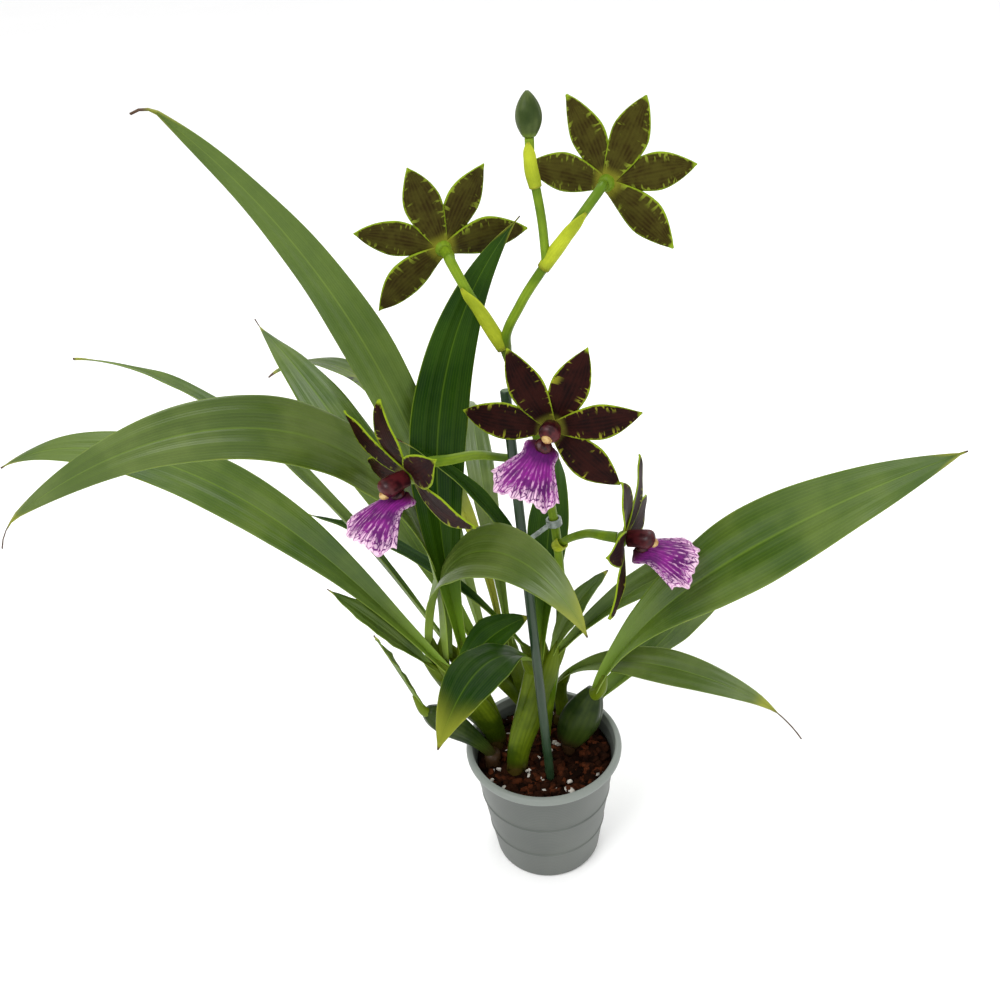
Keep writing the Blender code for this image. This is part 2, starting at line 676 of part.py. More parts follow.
def lip_point(reach, angle, droop):
    """A point of the lip's upper face at a distance from its claw and an angle off its middle."""
    share = reach / LIP_LENGTH
    bow = 0.12 * reach * (angle / math.radians(LIP_HALF_ANGLE)) ** 2
    ruffle = 2.0 * MM * max(share - 0.45, 0) / 0.55 * math.sin(9 * angle + 0.6)
    droop = math.radians(droop + LIP_BEND * share)
    forward = reach * math.cos(angle) * math.cos(droop)
    down = reach * math.cos(angle) * math.sin(droop)
    lift = ruffle - bow
    return Vector((reach * math.sin(angle),
                   -LIP_DROP - down + lift * math.cos(droop),
                   1.6 * MM + forward + lift * math.sin(droop)))


def build_lip(bloom, material):
    """The fan-shaped lip: small side lobes by the column, a ruffled and notched front edge."""
    grid = []
    normals = []
    rows = 6
    columns = 9
    for row in range(rows + 1):
        line = []
        line_normals = []
        for column in range(columns):
            across = 2 * column / (columns - 1) - 1
            edge = 1 - 0.13 * across ** 4 - 0.05 * math.exp(-(across / 0.16) ** 2)
            edge += 0.03 * math.cos(11 * across)
            reach = (4 + (LIP_LENGTH / MM * edge - 4) * row / rows) * MM
            lobe = 30 * math.exp(-((reach / MM - 8) / 3.5) ** 2)
            angle = across * math.radians(LIP_HALF_ANGLE + lobe)
            point = lip_point(reach, angle, bloom.droop)
            step = 0.2 * MM
            ahead = lip_point(reach + step, angle, bloom.droop) - point
            beside = lip_point(reach, angle + 0.02, bloom.droop) - point
            line.append(point)
            line_normals.append(ahead.cross(beside).normalized() * -1)
        grid.append(line)
        normals.append(line_normals)
    blade = sheet("lip", grid, normals, LIP_THICKNESS)
    crest = tube("crest", [lip_point(reach * MM, 0, bloom.droop) for reach in (4.6, 6.5, 9)],
                 [1.4 * MM, 3.2 * MM, 1.5 * MM], 8, 0.5)
    node = join_by_boolean(bloom.name + "_lip", [blade, crest], material)
    node.matrix_world = bloom_frame(bloom)
    return node


def build_column(bloom, material):
    """The column above the lip: a stout arched stem with a hood over its anther cap."""
    path = []
    radii = []
    for share, radius in ((0, 0.86), (0.3, 0.95), (0.6, 1.02), (0.85, 1.15), (1.0, 0.85), (1.08, 0.4)):
        arch = 1.6 * MM * math.sin(math.pi * 0.6 * share)
        path.append(Vector((0, arch + 0.6 * MM, COLUMN_FOOT + COLUMN_LENGTH * share)))
        radii.append(COLUMN_RADIUS * radius)
    stem = tube("stem", path, radii, 8, 0.9)
    cap = tube("cap", [path[4] + Vector((0, -1.2 * MM, -1.5 * MM)), path[4] + Vector((0, -0.8 * MM, 0.8 * MM)),
                       path[4] + Vector((0, -0.4 * MM, 2.0 * MM))],
               [1.6 * MM, 2.2 * MM, 0.9 * MM], 6)
    node = join_by_boolean(bloom.name + "_column", [stem, cap], material)
    node.matrix_world = bloom_frame(bloom)
    return node


def build_stake(material):
    along = STAKE_TOP - STAKE_FOOT
    path = [STAKE_FOOT, STAKE_FOOT + along * 0.5, STAKE_TOP - along.normalized() * 0.6 * MM, STAKE_TOP]
    return tube("stake", path, [STAKE_RADIUS, STAKE_RADIUS, STAKE_RADIUS, STAKE_RADIUS * 0.8], 16,
                material=material)


def build_clip(material):
    """The clip that holds the spike to the stake: a ring round each, joined by a web."""
    curve = smooth_path([Vector(point) * MM for point in SPIKE_PATH], 4)
    stake_point = STAKE_FOOT.lerp(STAKE_TOP, CLIP_SHARE)
    stem_point = min(curve, key=lambda point: abs(point.z - stake_point.z))
    stake_along = (STAKE_TOP - STAKE_FOOT).normalized()
    index = curve.index(stem_point)
    stem_along = (curve[index + 1] - curve[index - 1]).normalized()
    outers = []
    bores = []
    for centre, along, radius in ((stake_point, stake_along, STAKE_RADIUS), (stem_point, stem_along, SPIKE_RADIUS)):
        reach = along * CLIP_HEIGHT / 2
        ends = [centre - reach, centre + reach]
        outers.append(tube("ring", ends, [radius + 2 * GAP + CLIP_WALL] * 2, 12))
        ends = [centre - 2 * reach, centre + 2 * reach]
        bores.append(tube("bore", ends, [radius + 2 * GAP] * 2, 12))
    web = tube("web", [stake_point, stem_point], [CLIP_HEIGHT / 2 * 0.8] * 2, 8, 0.5)
    solid = join_by_boolean("plant_clip", [outers[0], outers[1], web], material)
    return join_by_boolean("plant_clip", [solid, *bores], material, "DIFFERENCE")


def main():
    clear_scene()
    pot_plastic = principled("pot_plastic", (0.42, 0.47, 0.46), 0.45)
    bark = principled("bark_mix", (0.09, 0.035, 0.02), 0.9)
    leaf_green = principled("leaf_green", (0.05, 0.15, 0.02), 0.4)
    bulb_green = principled("bulb_green", (0.04, 0.08, 0.02), 0.45)
    spike_green = principled("spike_green", (0.22, 0.42, 0.05), 0.4)
    bud_green = principled("bud_green", (0.04, 0.09, 0.02), 0.4)
    stake_green = principled("stake_green", (0.03, 0.09, 0.05), 0.35)
    clip_plastic = principled("clip_plastic", (0.45, 0.52, 0.52), 0.3)
    tepal_maroon = principled("tepal_maroon", (0.09, 0.02, 0.015), 0.45)
    lip_violet = principled("lip_violet", (0.30, 0.05, 0.36), 0.5)
    column_maroon = principled("column_maroon", (0.13, 0.02, 0.03), 0.35)

    rods = [(*plug_ends(growth.foot), PLUG_RADIUS) for growth in GROWTHS]
    rods += [(*plug_ends(bulb.foot), BULB_PLUG_RADIUS) for bulb in BULBS]
    rods.append((STAKE_FOOT, STAKE_FOOT.lerp(STAKE_TOP, 0.05), STAKE_RADIUS))
    rods.append((Vector(SPIKE_PATH[0]) * MM, Vector(SPIKE_PATH[1]) * MM, SPIKE_RADIUS))
    build_pot(pot_plastic)
    build_stake(stake_green)
    build_clip(clip_plastic)
    for growth in GROWTHS:
        build_growth(growth, leaf_green)
    for bulb in BULBS:
        build_pseudobulb(bulb, bulb_green)
    build_spike(spike_green)
    build_bud(bud_green)
    for bloom in BLOOMS:
        build_tepals(bloom, tepal_maroon)
        build_lip(bloom, lip_violet)
        build_column(bloom, column_maroon)
    build_medium(bark, rods)


main()
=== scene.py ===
# Zygopetalum orchid in a plain nursery pot: the finished pieces, their materials, camera and light.
# Units are metres, +Z is up, the pot's centre line is the Z axis and the viewer stands on the -Y side.

import math
import random
from collections import namedtuple

import bpy
import numpy as np
from mathutils import Matrix, Vector


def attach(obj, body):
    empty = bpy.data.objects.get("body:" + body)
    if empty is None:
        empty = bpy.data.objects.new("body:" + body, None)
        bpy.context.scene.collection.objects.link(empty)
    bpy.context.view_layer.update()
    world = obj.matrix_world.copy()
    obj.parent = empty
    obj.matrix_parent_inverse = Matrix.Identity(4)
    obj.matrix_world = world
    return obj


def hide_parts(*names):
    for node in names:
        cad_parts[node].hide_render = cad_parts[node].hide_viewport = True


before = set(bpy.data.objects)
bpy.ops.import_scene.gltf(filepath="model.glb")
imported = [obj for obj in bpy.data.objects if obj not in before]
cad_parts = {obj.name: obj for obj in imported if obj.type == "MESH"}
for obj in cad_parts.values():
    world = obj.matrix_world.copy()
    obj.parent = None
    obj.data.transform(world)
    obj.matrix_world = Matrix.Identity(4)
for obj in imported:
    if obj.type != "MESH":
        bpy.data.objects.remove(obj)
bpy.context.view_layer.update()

MM = 0.001
ROOT = "root"

# Pot
POT_HEIGHT = 81 * MM
POT_RIM_RADIUS = 45 * MM
POT_BASE_RADIUS = 31 * MM
POT_WALL = 1.3 * MM
POT_FLOOR = 2.0 * MM
POT_RIM_BEAD = 2.6 * MM
POT_RING_HEIGHTS = (22 * MM, 47 * MM)
POT_RING_DEPTH = 0.5 * MM
POT_SIDES = 144
TURNED_LINE_STEP = 1.6 * MM
DRAIN_HOLE_RADIUS = 3.0 * MM
DRAIN_HOLE_CIRCLE = 18 * MM
DRAIN_HOLES = 4

# Each step over a ring on the pot: its rise for the radius, its share of the depth, its rise, in mm.
RING_STEPS = ((-0.6, 0.0, -0.6), (0.0, 0.2, -0.2), (0.0, 1.0, 0.3), (0.0, 1.0, 0.9), (0.0, 0.25, 1.5),
              (2.2, 0.0, 2.2))

# Growing medium: the sizes of chips and granules and the unevenness in mm, the tilts in radians
SOIL_TOP = 71 * MM
ROOT_DEPTH = 9 * MM
SOIL_CLEARANCE = 0.6 * MM
CHIP_COUNT = 460
CHIP_SIZES = ((3.0, 9.0), (2.2, 5.0), (1.4, 3.2))
CHIP_TILTS = (("X", 0.6), ("Y", 0.5))
GRANULE_COUNT = 60
GRANULE_SIZES = ((0.9, 3.6),) * 3
SURFACE_DEPTH = 1.5 * MM
SURFACE_UNEVENNESS = 1.2

# Support stake and its clip
STAKE_RADIUS = 2.5 * MM
STAKE_FOOT = Vector((2.5, -18, 64)) * MM
STAKE_TOP = Vector((-9.5, -1, 310)) * MM
CLIP_HEIGHT = 4 * MM
CLIP_WALL = 1.2 * MM
CLIP_SHARE = 0.66
CLIP_PLAY = 0.5 * MM

# Leaves
BLADE_THICKNESS = 0.7 * MM
BLADE_STEP = 3.6 * MM
BLADE_COLUMNS = 24
BLADE_WIDEST = 0.58
BASE_FOLD = 62
OPEN_SHARE = 0.45
EDGE_DROOP = 0.12
PLEAT_DEPTH = 0.028
MIDRIB_DEPTH = 0.05
MIDRIB_WIDTH = 0.07
WAVE_RATE = 17
FLUTTER = 0.35 * MM
FLUTTER_RATE = 41
TIP_HALF_WIDTH = 0.35 * MM
SHEATH_SIDES = 20
SHEATH_FLATNESS = 0.72
SHEATH_STEPS = 22
SHEATH_TIP = 15 * MM
SHEATH_TIP_STEPS = 8
FOOT_RADIUS = 6.2 * MM
BULB_FOOT_RADIUS = 4.5 * MM
LEAF_MARGIN_COLOUR = (0.16, 0.24, 0.012)
LEAF_PATCH_COLOUR = (0.30, 0.32, 0.03)
LEAF_SPOT_COLOUR = (0.012, 0.012, 0.008)
TIP_YELLOW = (0.22, 0.24, 0.02)
TIP_BROWN = (0.075, 0.035, 0.014)

# Blooms: angles in degrees; the lip's claw, side lobes and crest and the cap's length in mm
TEPAL_LENGTH = 40.5 * MM
TEPAL_WIDTH = 16.5 * MM
TEPAL_THICKNESS = 0.8 * MM
TEPAL_WIDEST = 0.52
TEPAL_TILT = 16
TEPAL_TIP_BEND = 18
TEPAL_CUP = 0.9 * MM
TEPAL_WAVE = 0.45 * MM
TEPAL_WAVE_RATE = 13
TEPAL_KEEL = 0.35 * MM
TEPAL_ROOT = 1.5 * MM
TEPAL_LEAST_HALF_WIDTH = 0.25 * MM
PETAL_ANGLE = 53
TEPAL_ANGLES = (0, PETAL_ANGLE, -PETAL_ANGLE, 105, -109)
PETAL_CURL = 22
SEPAL_CURL = 27
SEPAL_WIDENING = 1.06
PETAL_LEVEL = -0.25 * MM
SEPAL_LEVEL = -0.95 * MM
SEPAL_SPACING = 0.07 * MM
RECEPTACLE_RADIUS = 4.6 * MM
RECEPTACLE_DEPTH = 3 * MM
LIP_LENGTH = 35 * MM
LIP_HALF_ANGLE = 33
LIP_THICKNESS = 0.8 * MM
LIP_BEND = 14
LIP_DROP = 4.2 * MM
LIP_START = 1.6 * MM
LIP_CLAW = 4
LIP_BOW = 0.12
LIP_RUFFLE = 2.0 * MM
LIP_FRILL = 0.7 * MM
LIP_PUCKER = 0.16 * MM
SIDE_LOBE_ANGLE = 30
SIDE_LOBE_PLACE = 8
SIDE_LOBE_SPREAD = 3.5
CREST_START = 4.2
CREST_LENGTH = 6.0
CREST_RADIUS = 4.0 * MM
THROAT_MAROON = (0.040, 0.003, 0.010)
COLUMN_LENGTH = 12 * MM
COLUMN_RADIUS = 4.3 * MM
COLUMN_FOOT = 2.2 * MM
COLUMN_ARCH = 1.6 * MM
COLUMN_LIFT = 0.6 * MM
CAP_RADIUS = 2.5 * MM
CAP_LENGTH = 4.6

# Camera: its place, its angle below level and roll in degrees, its lens and sensor width in mm
CAMERA_PLACE = Vector((-15.4, -444.0, 537.5)) * MM
CAMERA_PITCH = 33
CAMERA_ROLL = 4
CAMERA_LENS = 38.6
CAMERA_SENSOR = 36

# Floor, and lights as name, place, size in metres and power in watts
FLOOR_SIZE = 60
FLOOR_GAP = 0.5 * MM
FLOOR_COLOURS = ((0.965, 0.965, 0.965), (0.975, 0.975, 0.975))
LIGHT_TARGET = Vector((0, 0, 0.2))
SOFT_LIGHTS = (
    ("key", (-0.9, -0.9, 1.9), 1.0, 22),
    ("top_back", (0.5, 0.9, 1.7), 1.0, 12),
    ("front_fill", (0.8, -1.5, 0.8), 1.4, 5),
)

Leaf = namedtuple("Leaf", "name root azimuth length width rise arch bend sway roll twist fold neck "
                  "wave dry curl pale tone tip")
Bloom = namedtuple("Bloom", "name centre facing dorsal droop")
Growth = namedtuple("Growth", "name foot leaves sheath")
Bulb = namedtuple("Bulb", "name foot apex radius belly lean leaf")


def leaf(name, root, azimuth, length, width, rise, arch, bend, sway=0, roll=0, twist=0,
         fold=22, neck=0.3, wave=1.0, dry=0.01, curl=0, pale=0.3, tone="mid", tip=0.04):
    """Describe one leaf. Lengths are in mm and angles in degrees.

    The last shares: dry is the brown part of the tip, curl its extra bend, pale the
    light green part at the base and tip its yellow-green end; tone picks the skin: plain green, a
    darker copy with painted shade, a lighter greyer copy with painted sheen, or green with blemishes.
    """
    return Leaf(name, Vector(root) * MM, azimuth, length * MM, width * MM, rise, arch, bend,
                sway, roll, twist, fold, neck, wave * MM, dry, curl, pale, tone, tip)


# Each growth is one leafy shoot: its foot in the bark and the leaves that sheathe it.
GROWTHS = (
    Growth("growth_left", Vector((-28, 12, 71)) * MM, (
        leaf("arching_left", (-55, 13, 138), 224, 335, 33, 99, 124, 1.2, -4, roll=-62, twist=20,
             fold=10, neck=0.42, dry=0.03, curl=50, pale=0.34, tone="grey"),
        leaf("low_left", (-50, 5, 133), 174, 287, 29, 56, 88, 2.4, -4, roll=-40, fold=16, pale=0.2),
        leaf("edge_left", (-47, 18, 134), 159, 288, 17, 58, 68, 2.0, -6, roll=16, fold=34, pale=0.2),
        leaf("tall_centre", (-42, 14, 139), 46, 256, 29, 96, 58, 2.2, -20, roll=62, fold=14,
             tone="dark"),
        leaf("front_fold", (-59, 13, 140), -40, 187, 31, 85, 140, 1.65, -12, roll=34, fold=10,
             dry=0.004, pale=0.42, tone="grey", tip=0.16),
        leaf("under_dark", (-46, 1, 132), 0, 60, 24, 64, 44, 1.3, roll=30, fold=20, tone="dark"),
        leaf("left_short", (-56, 8, 130), 191, 90, 15, 57, 6, 1.3, roll=-30, fold=26),
    ), (5.8, 4.4)),
    Growth("growth_back", Vector((-6, 28, 71)) * MM, (
        leaf("tall_left", (-29, 36, 119), 209, 368, 25, 81, 36, 2.0, 6, roll=58, fold=16,
             dry=0.02, curl=70, tone="grey"),
        leaf("up_left", (-32, 32, 119), 133, 270, 33, 49, 43, 1.8, -10, fold=14, dry=0.03, curl=-30),
        leaf("spotted_back", (-20, 38, 124), 114, 300, 19, 78, 116, 1.1, 27, fold=20, dry=0.03,
             tone="spotted"),
        leaf("small_upright", (-15, 31, 124), 102, 212, 18, 64, 94, 1.3, -13, fold=22, tone="grey"),
    ), (5.2, 4.0)),
    Growth("growth_front", Vector((-17, -9, 71)) * MM, (
        leaf("back_tip_left", (-4, 2, 139), 176, 168, 12, 96, 66, 1.3, roll=-30, fold=36, dry=0.04,
             tone="dark"),
        leaf("low_tip_left", (-3, 3, 140), 154, 172, 12, 57, 66, 0.8, -10, fold=36, dry=0.05,
             tone="dark"),
        leaf("front_hang", (-5, 0, 139), -124, 124, 27, 57, 79, 1.15, 15, roll=-14, fold=8, dry=0.003,
             pale=0.2, tone="dark", tip=0.34),
        leaf("right_long", (6, 3, 137), 7, 161, 23, 52, 86, 1.3, 9, roll=24, fold=34, pale=0.2),
        leaf("right_short", (6, 1, 139), 24, 64, 14, 73, 45, 1.3, roll=20, fold=26),
        leaf("centre_back", (1, 4, 140), 75, 128, 25, 69, 70, 1.4, 5, fold=26, tone="dark"),
    ), (6.2, 4.8)),
    Growth("growth_right", Vector((13, 27, 71)) * MM, (
        leaf("right_low", (14, 32, 97), -41, 168, 20, 63, 80, 0.7, 5, roll=46, fold=18, dry=0.13,
             curl=34, tone="grey", tip=0.25),
        leaf("right_back", (28, 20, 82), 18, 156, 27, 40, 36, 0.8, 40, fold=18, neck=0.5, pale=0.36),
    ), (4.4, 3.4)),
)

# Two ridged storage stems, each with the one leaf that grows from its apex.
BULBS = (
    Bulb("pseudobulb_right", Vector((15, 3, 76)) * MM, Vector((31, 10, 109)) * MM, 11.5 * MM,
         1.0, 1.0,
         leaf("right_big", (34, 5, 114), -30, 248, 40, 78, 49, 0.6, 16, roll=54, fold=12, neck=0.26,
              dry=0.01, pale=0.34)),
    Bulb("pseudobulb_left", Vector((-30, -4, 75)) * MM, Vector((-64, -8, 119)) * MM, 8.5 * MM,
         2.2, 0.75,
         leaf("thin_low_left", (-66, -9, 121), 193, 62, 8, 72, 2, 1.3, fold=30, neck=0.5)),
)
BULB_SIDES = 72
BULB_RIDGES = 6

# The flower spike, foot to top, and the stalk of each flower from the spike to its back.
SPIKE_PATH = ((2, 15, 64), (4, 16, 84), (9, 16, 120), (14, 17, 168), (13, 14, 209), (10, 15, 238),
              (6, 15, 267), (1, 13, 297), (-8, 10, 327), (0, 8, 348), (13, 6, 368), (20, 4, 378),
              (30, 4, 391), (37, 9, 398))
SPIKE_NODES = (3, 6, 8, 10)
SPIKE_RADIUS = 2.4 * MM
STALK_RADIUS = 2.0 * MM

BLOOMS = (
    Bloom("bloom_upper_left", (-33.5, 32, 368), (-0.30, 0.94, 0.12), (-0.33, 0.00, 0.94), 4),
    Bloom("bloom_top", (42, 31, 393), (0.46, 0.88, -0.06), (0.50, 0.12, 0.84), 4),
    Bloom("bloom_left", (-54, -45, 294), (-0.76, -0.60, -0.24), (-0.24, -0.12, 0.96), -2),
    Bloom("bloom_centre", (10, -23, 301), (-0.22, -0.97, 0.13), (0.43, 0.10, 0.90), 26),
    Bloom("bloom_right", (43, -23, 237), (0.93, -0.36, 0.00), (0.10, -0.34, 0.93), 0),
)
STALKS = {
    "bloom_upper_left": ((-8, 10, 324), (-16, 10, 340), (-24, 10, 356), (-30, 14, 368)),
    "bloom_left": ((6, 15, 262), (-12, 2, 272), (-25, -14, 284), (-37, -30, 292)),
    "bloom_centre": ((2, 13, 288), (7, 8, 292), (10, 0, 293)),
    "bloom_right": ((13, 14, 209), (19, 2, 222), (27, -8, 231)),
}
BUD_STALK = ((12, 6, 366), (11, 7, 384), (9, 7, 399), (7, 7, 410), (7, 8, 421))
BUD_LENGTH = 18 * MM
BUD_RADIUS = 5.4 * MM

# Bracts clasp the spike: the stem each lies along, its start point, length and width in mm.
BRACTS = (
    ("bloom_upper_left", (-9, 9.5, 325), 34, 6.4),
    ("spike", (11, 6, 365), 30, 6.0),
    ("bud", (8.4, 7, 400), 18, 5.6),
    ("bloom_left", (5, 14.5, 262), 15, 7.0),
    ("bloom_right", (12, 15, 206), 11, 7.0),
)
BRACT_SPRING = 1.1 * MM
BRACT_WRAP = 165
BRACT_THICKNESS = 0.5 * MM


# Node helpers

def add(tree, kind, inputs=None, **settings):
    """Add a node with its settings, and link or set the named inputs."""
    made = tree.nodes.new(kind)
    for key, value in settings.items():
        setattr(made, key, value)
    for key, value in (inputs or {}).items():
        feed(tree, made.inputs[key], value)
    return made


def feed(tree, socket, value):
    """Link another socket to this one, or set its value."""
    if isinstance(value, bpy.types.NodeSocket):
        tree.links.new(value, socket)
    elif socket.type == "RGBA" and len(value) == 3:
        socket.default_value = (*value, 1.0)
    else:
        socket.default_value = value


def calc(tree, operation, first, second=0.0, clamp=False):
    """The result of a sum with one or two values."""
    made = add(tree, "ShaderNodeMath", {0: first, 1: second}, operation=operation, use_clamp=clamp)
    return made.outputs[0]


def times(tree, first, second):
    """Two values multiplied."""
    return calc(tree, "MULTIPLY", first, second)


def plus(tree, first, second):
    """Two values added."""
    return calc(tree, "ADD", first, second)


def minus(tree, first, second):
    """The second value taken from the first."""
    return calc(tree, "SUBTRACT", first, second)


def parted(tree, vector):
    """The X, Y and Z of a vector."""
    return add(tree, "ShaderNodeSeparateXYZ", {0: vector}).outputs


def from_middle(tree, across):
    """How far a place across a piece, from 0 to 1, lies from the middle."""
    return calc(tree, "ABSOLUTE", minus(tree, across, 0.5))


def step_between(tree, value, start, end):
    """A smooth step that is 0 at start and 1 at end."""
    made = add(tree, "ShaderNodeMapRange", {"Value": value, "From Min": start, "From Max": end},
               interpolation_type="SMOOTHSTEP")
    return made.outputs["Result"]


def blend_colours(tree, share, first, second):
    """The first colour where share is 0 and the second where it is 1."""
    made = add(tree, "ShaderNodeMix", data_type="RGBA")
    feed(tree, made.inputs[0], share)
    feed(tree, made.inputs[6], first)
    feed(tree, made.inputs[7], second)
    return made.outputs[2]


def stretched(tree, vector, scales):
    """A place scaled along each axis."""
    made = add(tree, "ShaderNodeVectorMath", {0: vector, 1: scales}, operation="MULTIPLY")
    return made.outputs[0]


def noise(tree, vector, scale, detail=3.0):
    """Cloudy noise between 0 and 1."""
    made = add(tree, "ShaderNodeTexNoise", {"Vector": vector, "Scale": scale, "Detail": detail,
                                            "Roughness": 0.55})
    return made.outputs["Fac"]


def new_group(name, inputs, outputs):
    """A node group; inputs are (name, kind, start value) and outputs are (name, kind)."""
    group = bpy.data.node_groups.new(name, "ShaderNodeTree")
    for label, kind, value in inputs:
        socket = group.interface.new_socket(label, in_out="INPUT", socket_type=kind)
        if value is not None:
            socket.default_value = value
    for label, kind in outputs:
        group.interface.new_socket(label, in_out="OUTPUT", socket_type=kind)
    given = group.nodes.new("NodeGroupInput").outputs
    result = group.nodes.new("NodeGroupOutput").inputs
    return group, given, result


def place_group(tree, group, inputs):
    """The outputs of a node group placed with these inputs."""
    return add(tree, "ShaderNodeGroup", inputs, node_tree=group).outputs


# Shared patterns

COLOUR = "NodeSocketColor"
VALUE = "NodeSocketFloat"
VECTOR = "NodeSocketVector"


def build_mottle_group():
    """Cloudy tinting between two colours with a finer speckle on top."""
    group, given, result = new_group("mottle", (
        ("Place", VECTOR, None),
        ("First", COLOUR, (0.1, 0.1, 0.1, 1)),
        ("Second", COLOUR, (0.2, 0.2, 0.2, 1)),
        ("Cloud scale", VALUE, 30.0),
        ("Speckle scale", VALUE, 400.0),
        ("Speckle", VALUE, 0.1),
    ), (("Colour", COLOUR), ("Cloud", VALUE), ("Speckle", VALUE)))
    cloud = step_between(group, noise(group, given["Place"], given["Cloud scale"]), 0.35, 0.65)
    fine = noise(group, given["Place"], given["Speckle scale"], 2.0)
    colour = blend_colours(group, cloud, given["First"], given["Second"])
    shade = add(group, "ShaderNodeVectorMath", {0: colour}, operation="SCALE")
    feed(group, shade.inputs["Scale"], minus(group, 1.0, times(group, given["Speckle"], fine)))
    feed(group, result["Colour"], shade.outputs[0])
    feed(group, result["Cloud"], cloud)
    feed(group, result["Speckle"], fine)
    return group


def build_vein_group():
    """Lines along a blade: fine parallel veins, broad pleats, the midrib and the margin."""
    group, given, result = new_group("blade_veins", (
        ("Pattern", VECTOR, None),
        ("Place", VECTOR, None),
        ("Veins", VALUE, 30.0),
        ("Pleats", VALUE, 6.0),
        ("Midrib width", VALUE, 0.03),
        ("Margin width", VALUE, 0.03),
    ), (("Veins", VALUE), ("Pleats", VALUE), ("Midrib", VALUE), ("Margin", VALUE)))
    across = parted(group, given["Pattern"])["X"]
    wander = times(group, minus(group, noise(group, given["Place"], 14.0, 2.0), 0.5), 0.03)
    shifted = plus(group, across, wander)
    for label in ("Veins", "Pleats"):
        turns = times(group, times(group, shifted, given[label]), 2 * math.pi)
        wave = calc(group, "COSINE", turns)
        feed(group, result[label], plus(group, times(group, wave, 0.5), 0.5))
    off_middle = from_middle(group, across)
    feed(group, result["Midrib"], step_between(group, off_middle, given["Midrib width"], 0.0))
    inset = minus(group, 0.5, off_middle)
    feed(group, result["Margin"], step_between(group, inset, given["Margin width"], 0.0))
    return group


def build_bar_group():
    """Broken bars that run in from both margins of a flower segment, and its narrow edge."""
    group, given, result = new_group("margin_bars", (
        ("Pattern", VECTOR, None),
        ("Place", VECTOR, None),
        ("Edge width", VALUE, 0.05),
        ("Bar reach", VALUE, 0.25),
        ("Bar scale", VALUE, 9.0),
        ("Bar level", VALUE, 0.58),
    ), (("Edge", VALUE), ("Bars", VALUE)))
    parts = parted(group, given["Pattern"])
    inset = minus(group, 0.5, from_middle(group, parts["X"]))
    ragged = times(group, minus(group, noise(group, given["Place"], 420.0, 2.0), 0.5), 0.10)
    from_edge = plus(group, inset, ragged)
    to_tip = plus(group, minus(group, 1.0, parts["Y"]), times(group, ragged, 0.6))
    edge = step_between(group, from_edge, given["Edge width"], 0.0)
    tip = step_between(group, to_tip, 0.07, 0.02)
    feed(group, result["Edge"], calc(group, "MAXIMUM", edge, tip))
    crossing = stretched(group, given["Pattern"], (0.5, 4.2, 1.0))
    drift = stretched(group, given["Place"], (9.0, 9.0, 9.0))
    barred = add(group, "ShaderNodeVectorMath", {0: crossing, 1: drift}, operation="ADD").outputs[0]
    blotch = noise(group, barred, given["Bar scale"], 1.5)
    bars = step_between(group, blotch, given["Bar level"], plus(group, given["Bar level"], 0.05))
    near_edge = step_between(group, from_edge, given["Bar reach"], 0.04)
    feed(group, result["Bars"], times(group, bars, near_edge))
    return group


MOTTLE = build_mottle_group()
BLADE_VEINS = build_vein_group()
MARGIN_BARS = build_bar_group()


def mottle(tree, place, colours, cloud_scale, speckle_scale, speckle):
    """The mottle group between a pair of colours."""
    return place_group(tree, MOTTLE, {
        "Place": place, "First": colours[0], "Second": colours[1],
        "Cloud scale": cloud_scale, "Speckle scale": speckle_scale, "Speckle": speckle,
    })


def blade_veins(tree, base, veins, pleats, midrib, margin):
    """The vein group laid along a piece."""
    return place_group(tree, BLADE_VEINS, {
        "Pattern": base.pattern, "Place": base.place, "Veins": veins, "Pleats": pleats,
        "Midrib width": midrib, "Margin width": margin,
    })


# Materials

Base = namedtuple("Base", "material tree shader pattern age place")


def new_material(name, roughness=0.5, specular=0.5):
    """A material with its shader node, the two patterns laid along a piece and the place in space."""
    material = bpy.data.materials.new(name)
    material.use_nodes = True
    tree = material.node_tree
    shader = tree.nodes["Principled BSDF"]
    shader.inputs["Roughness"].default_value = roughness
    shader.inputs["Specular IOR Level"].default_value = specular
    pattern = add(tree, "ShaderNodeUVMap", uv_map="pattern").outputs["UV"]
    age = add(tree, "ShaderNodeUVMap", uv_map="age").outputs["UV"]
    place = add(tree, "ShaderNodeTexCoord").outputs["Object"]
    return Base(material, tree, shader, pattern, age, place)


def finish_material(base, colour, height, distance, strength, roughness=None):
    """Link the colour, the relief and, where given, the roughness to the shader."""
    tree = base.tree
    tree.links.new(colour, base.shader.inputs["Base Color"])
    bump = add(tree, "ShaderNodeBump", {"Height": height, "Distance": distance, "Strength": strength})
    tree.links.new(bump.outputs["Normal"], base.shader.inputs["Normal"])
    if roughness is not None:
        tree.links.new(roughness, base.shader.inputs["Roughness"])
    return base.material


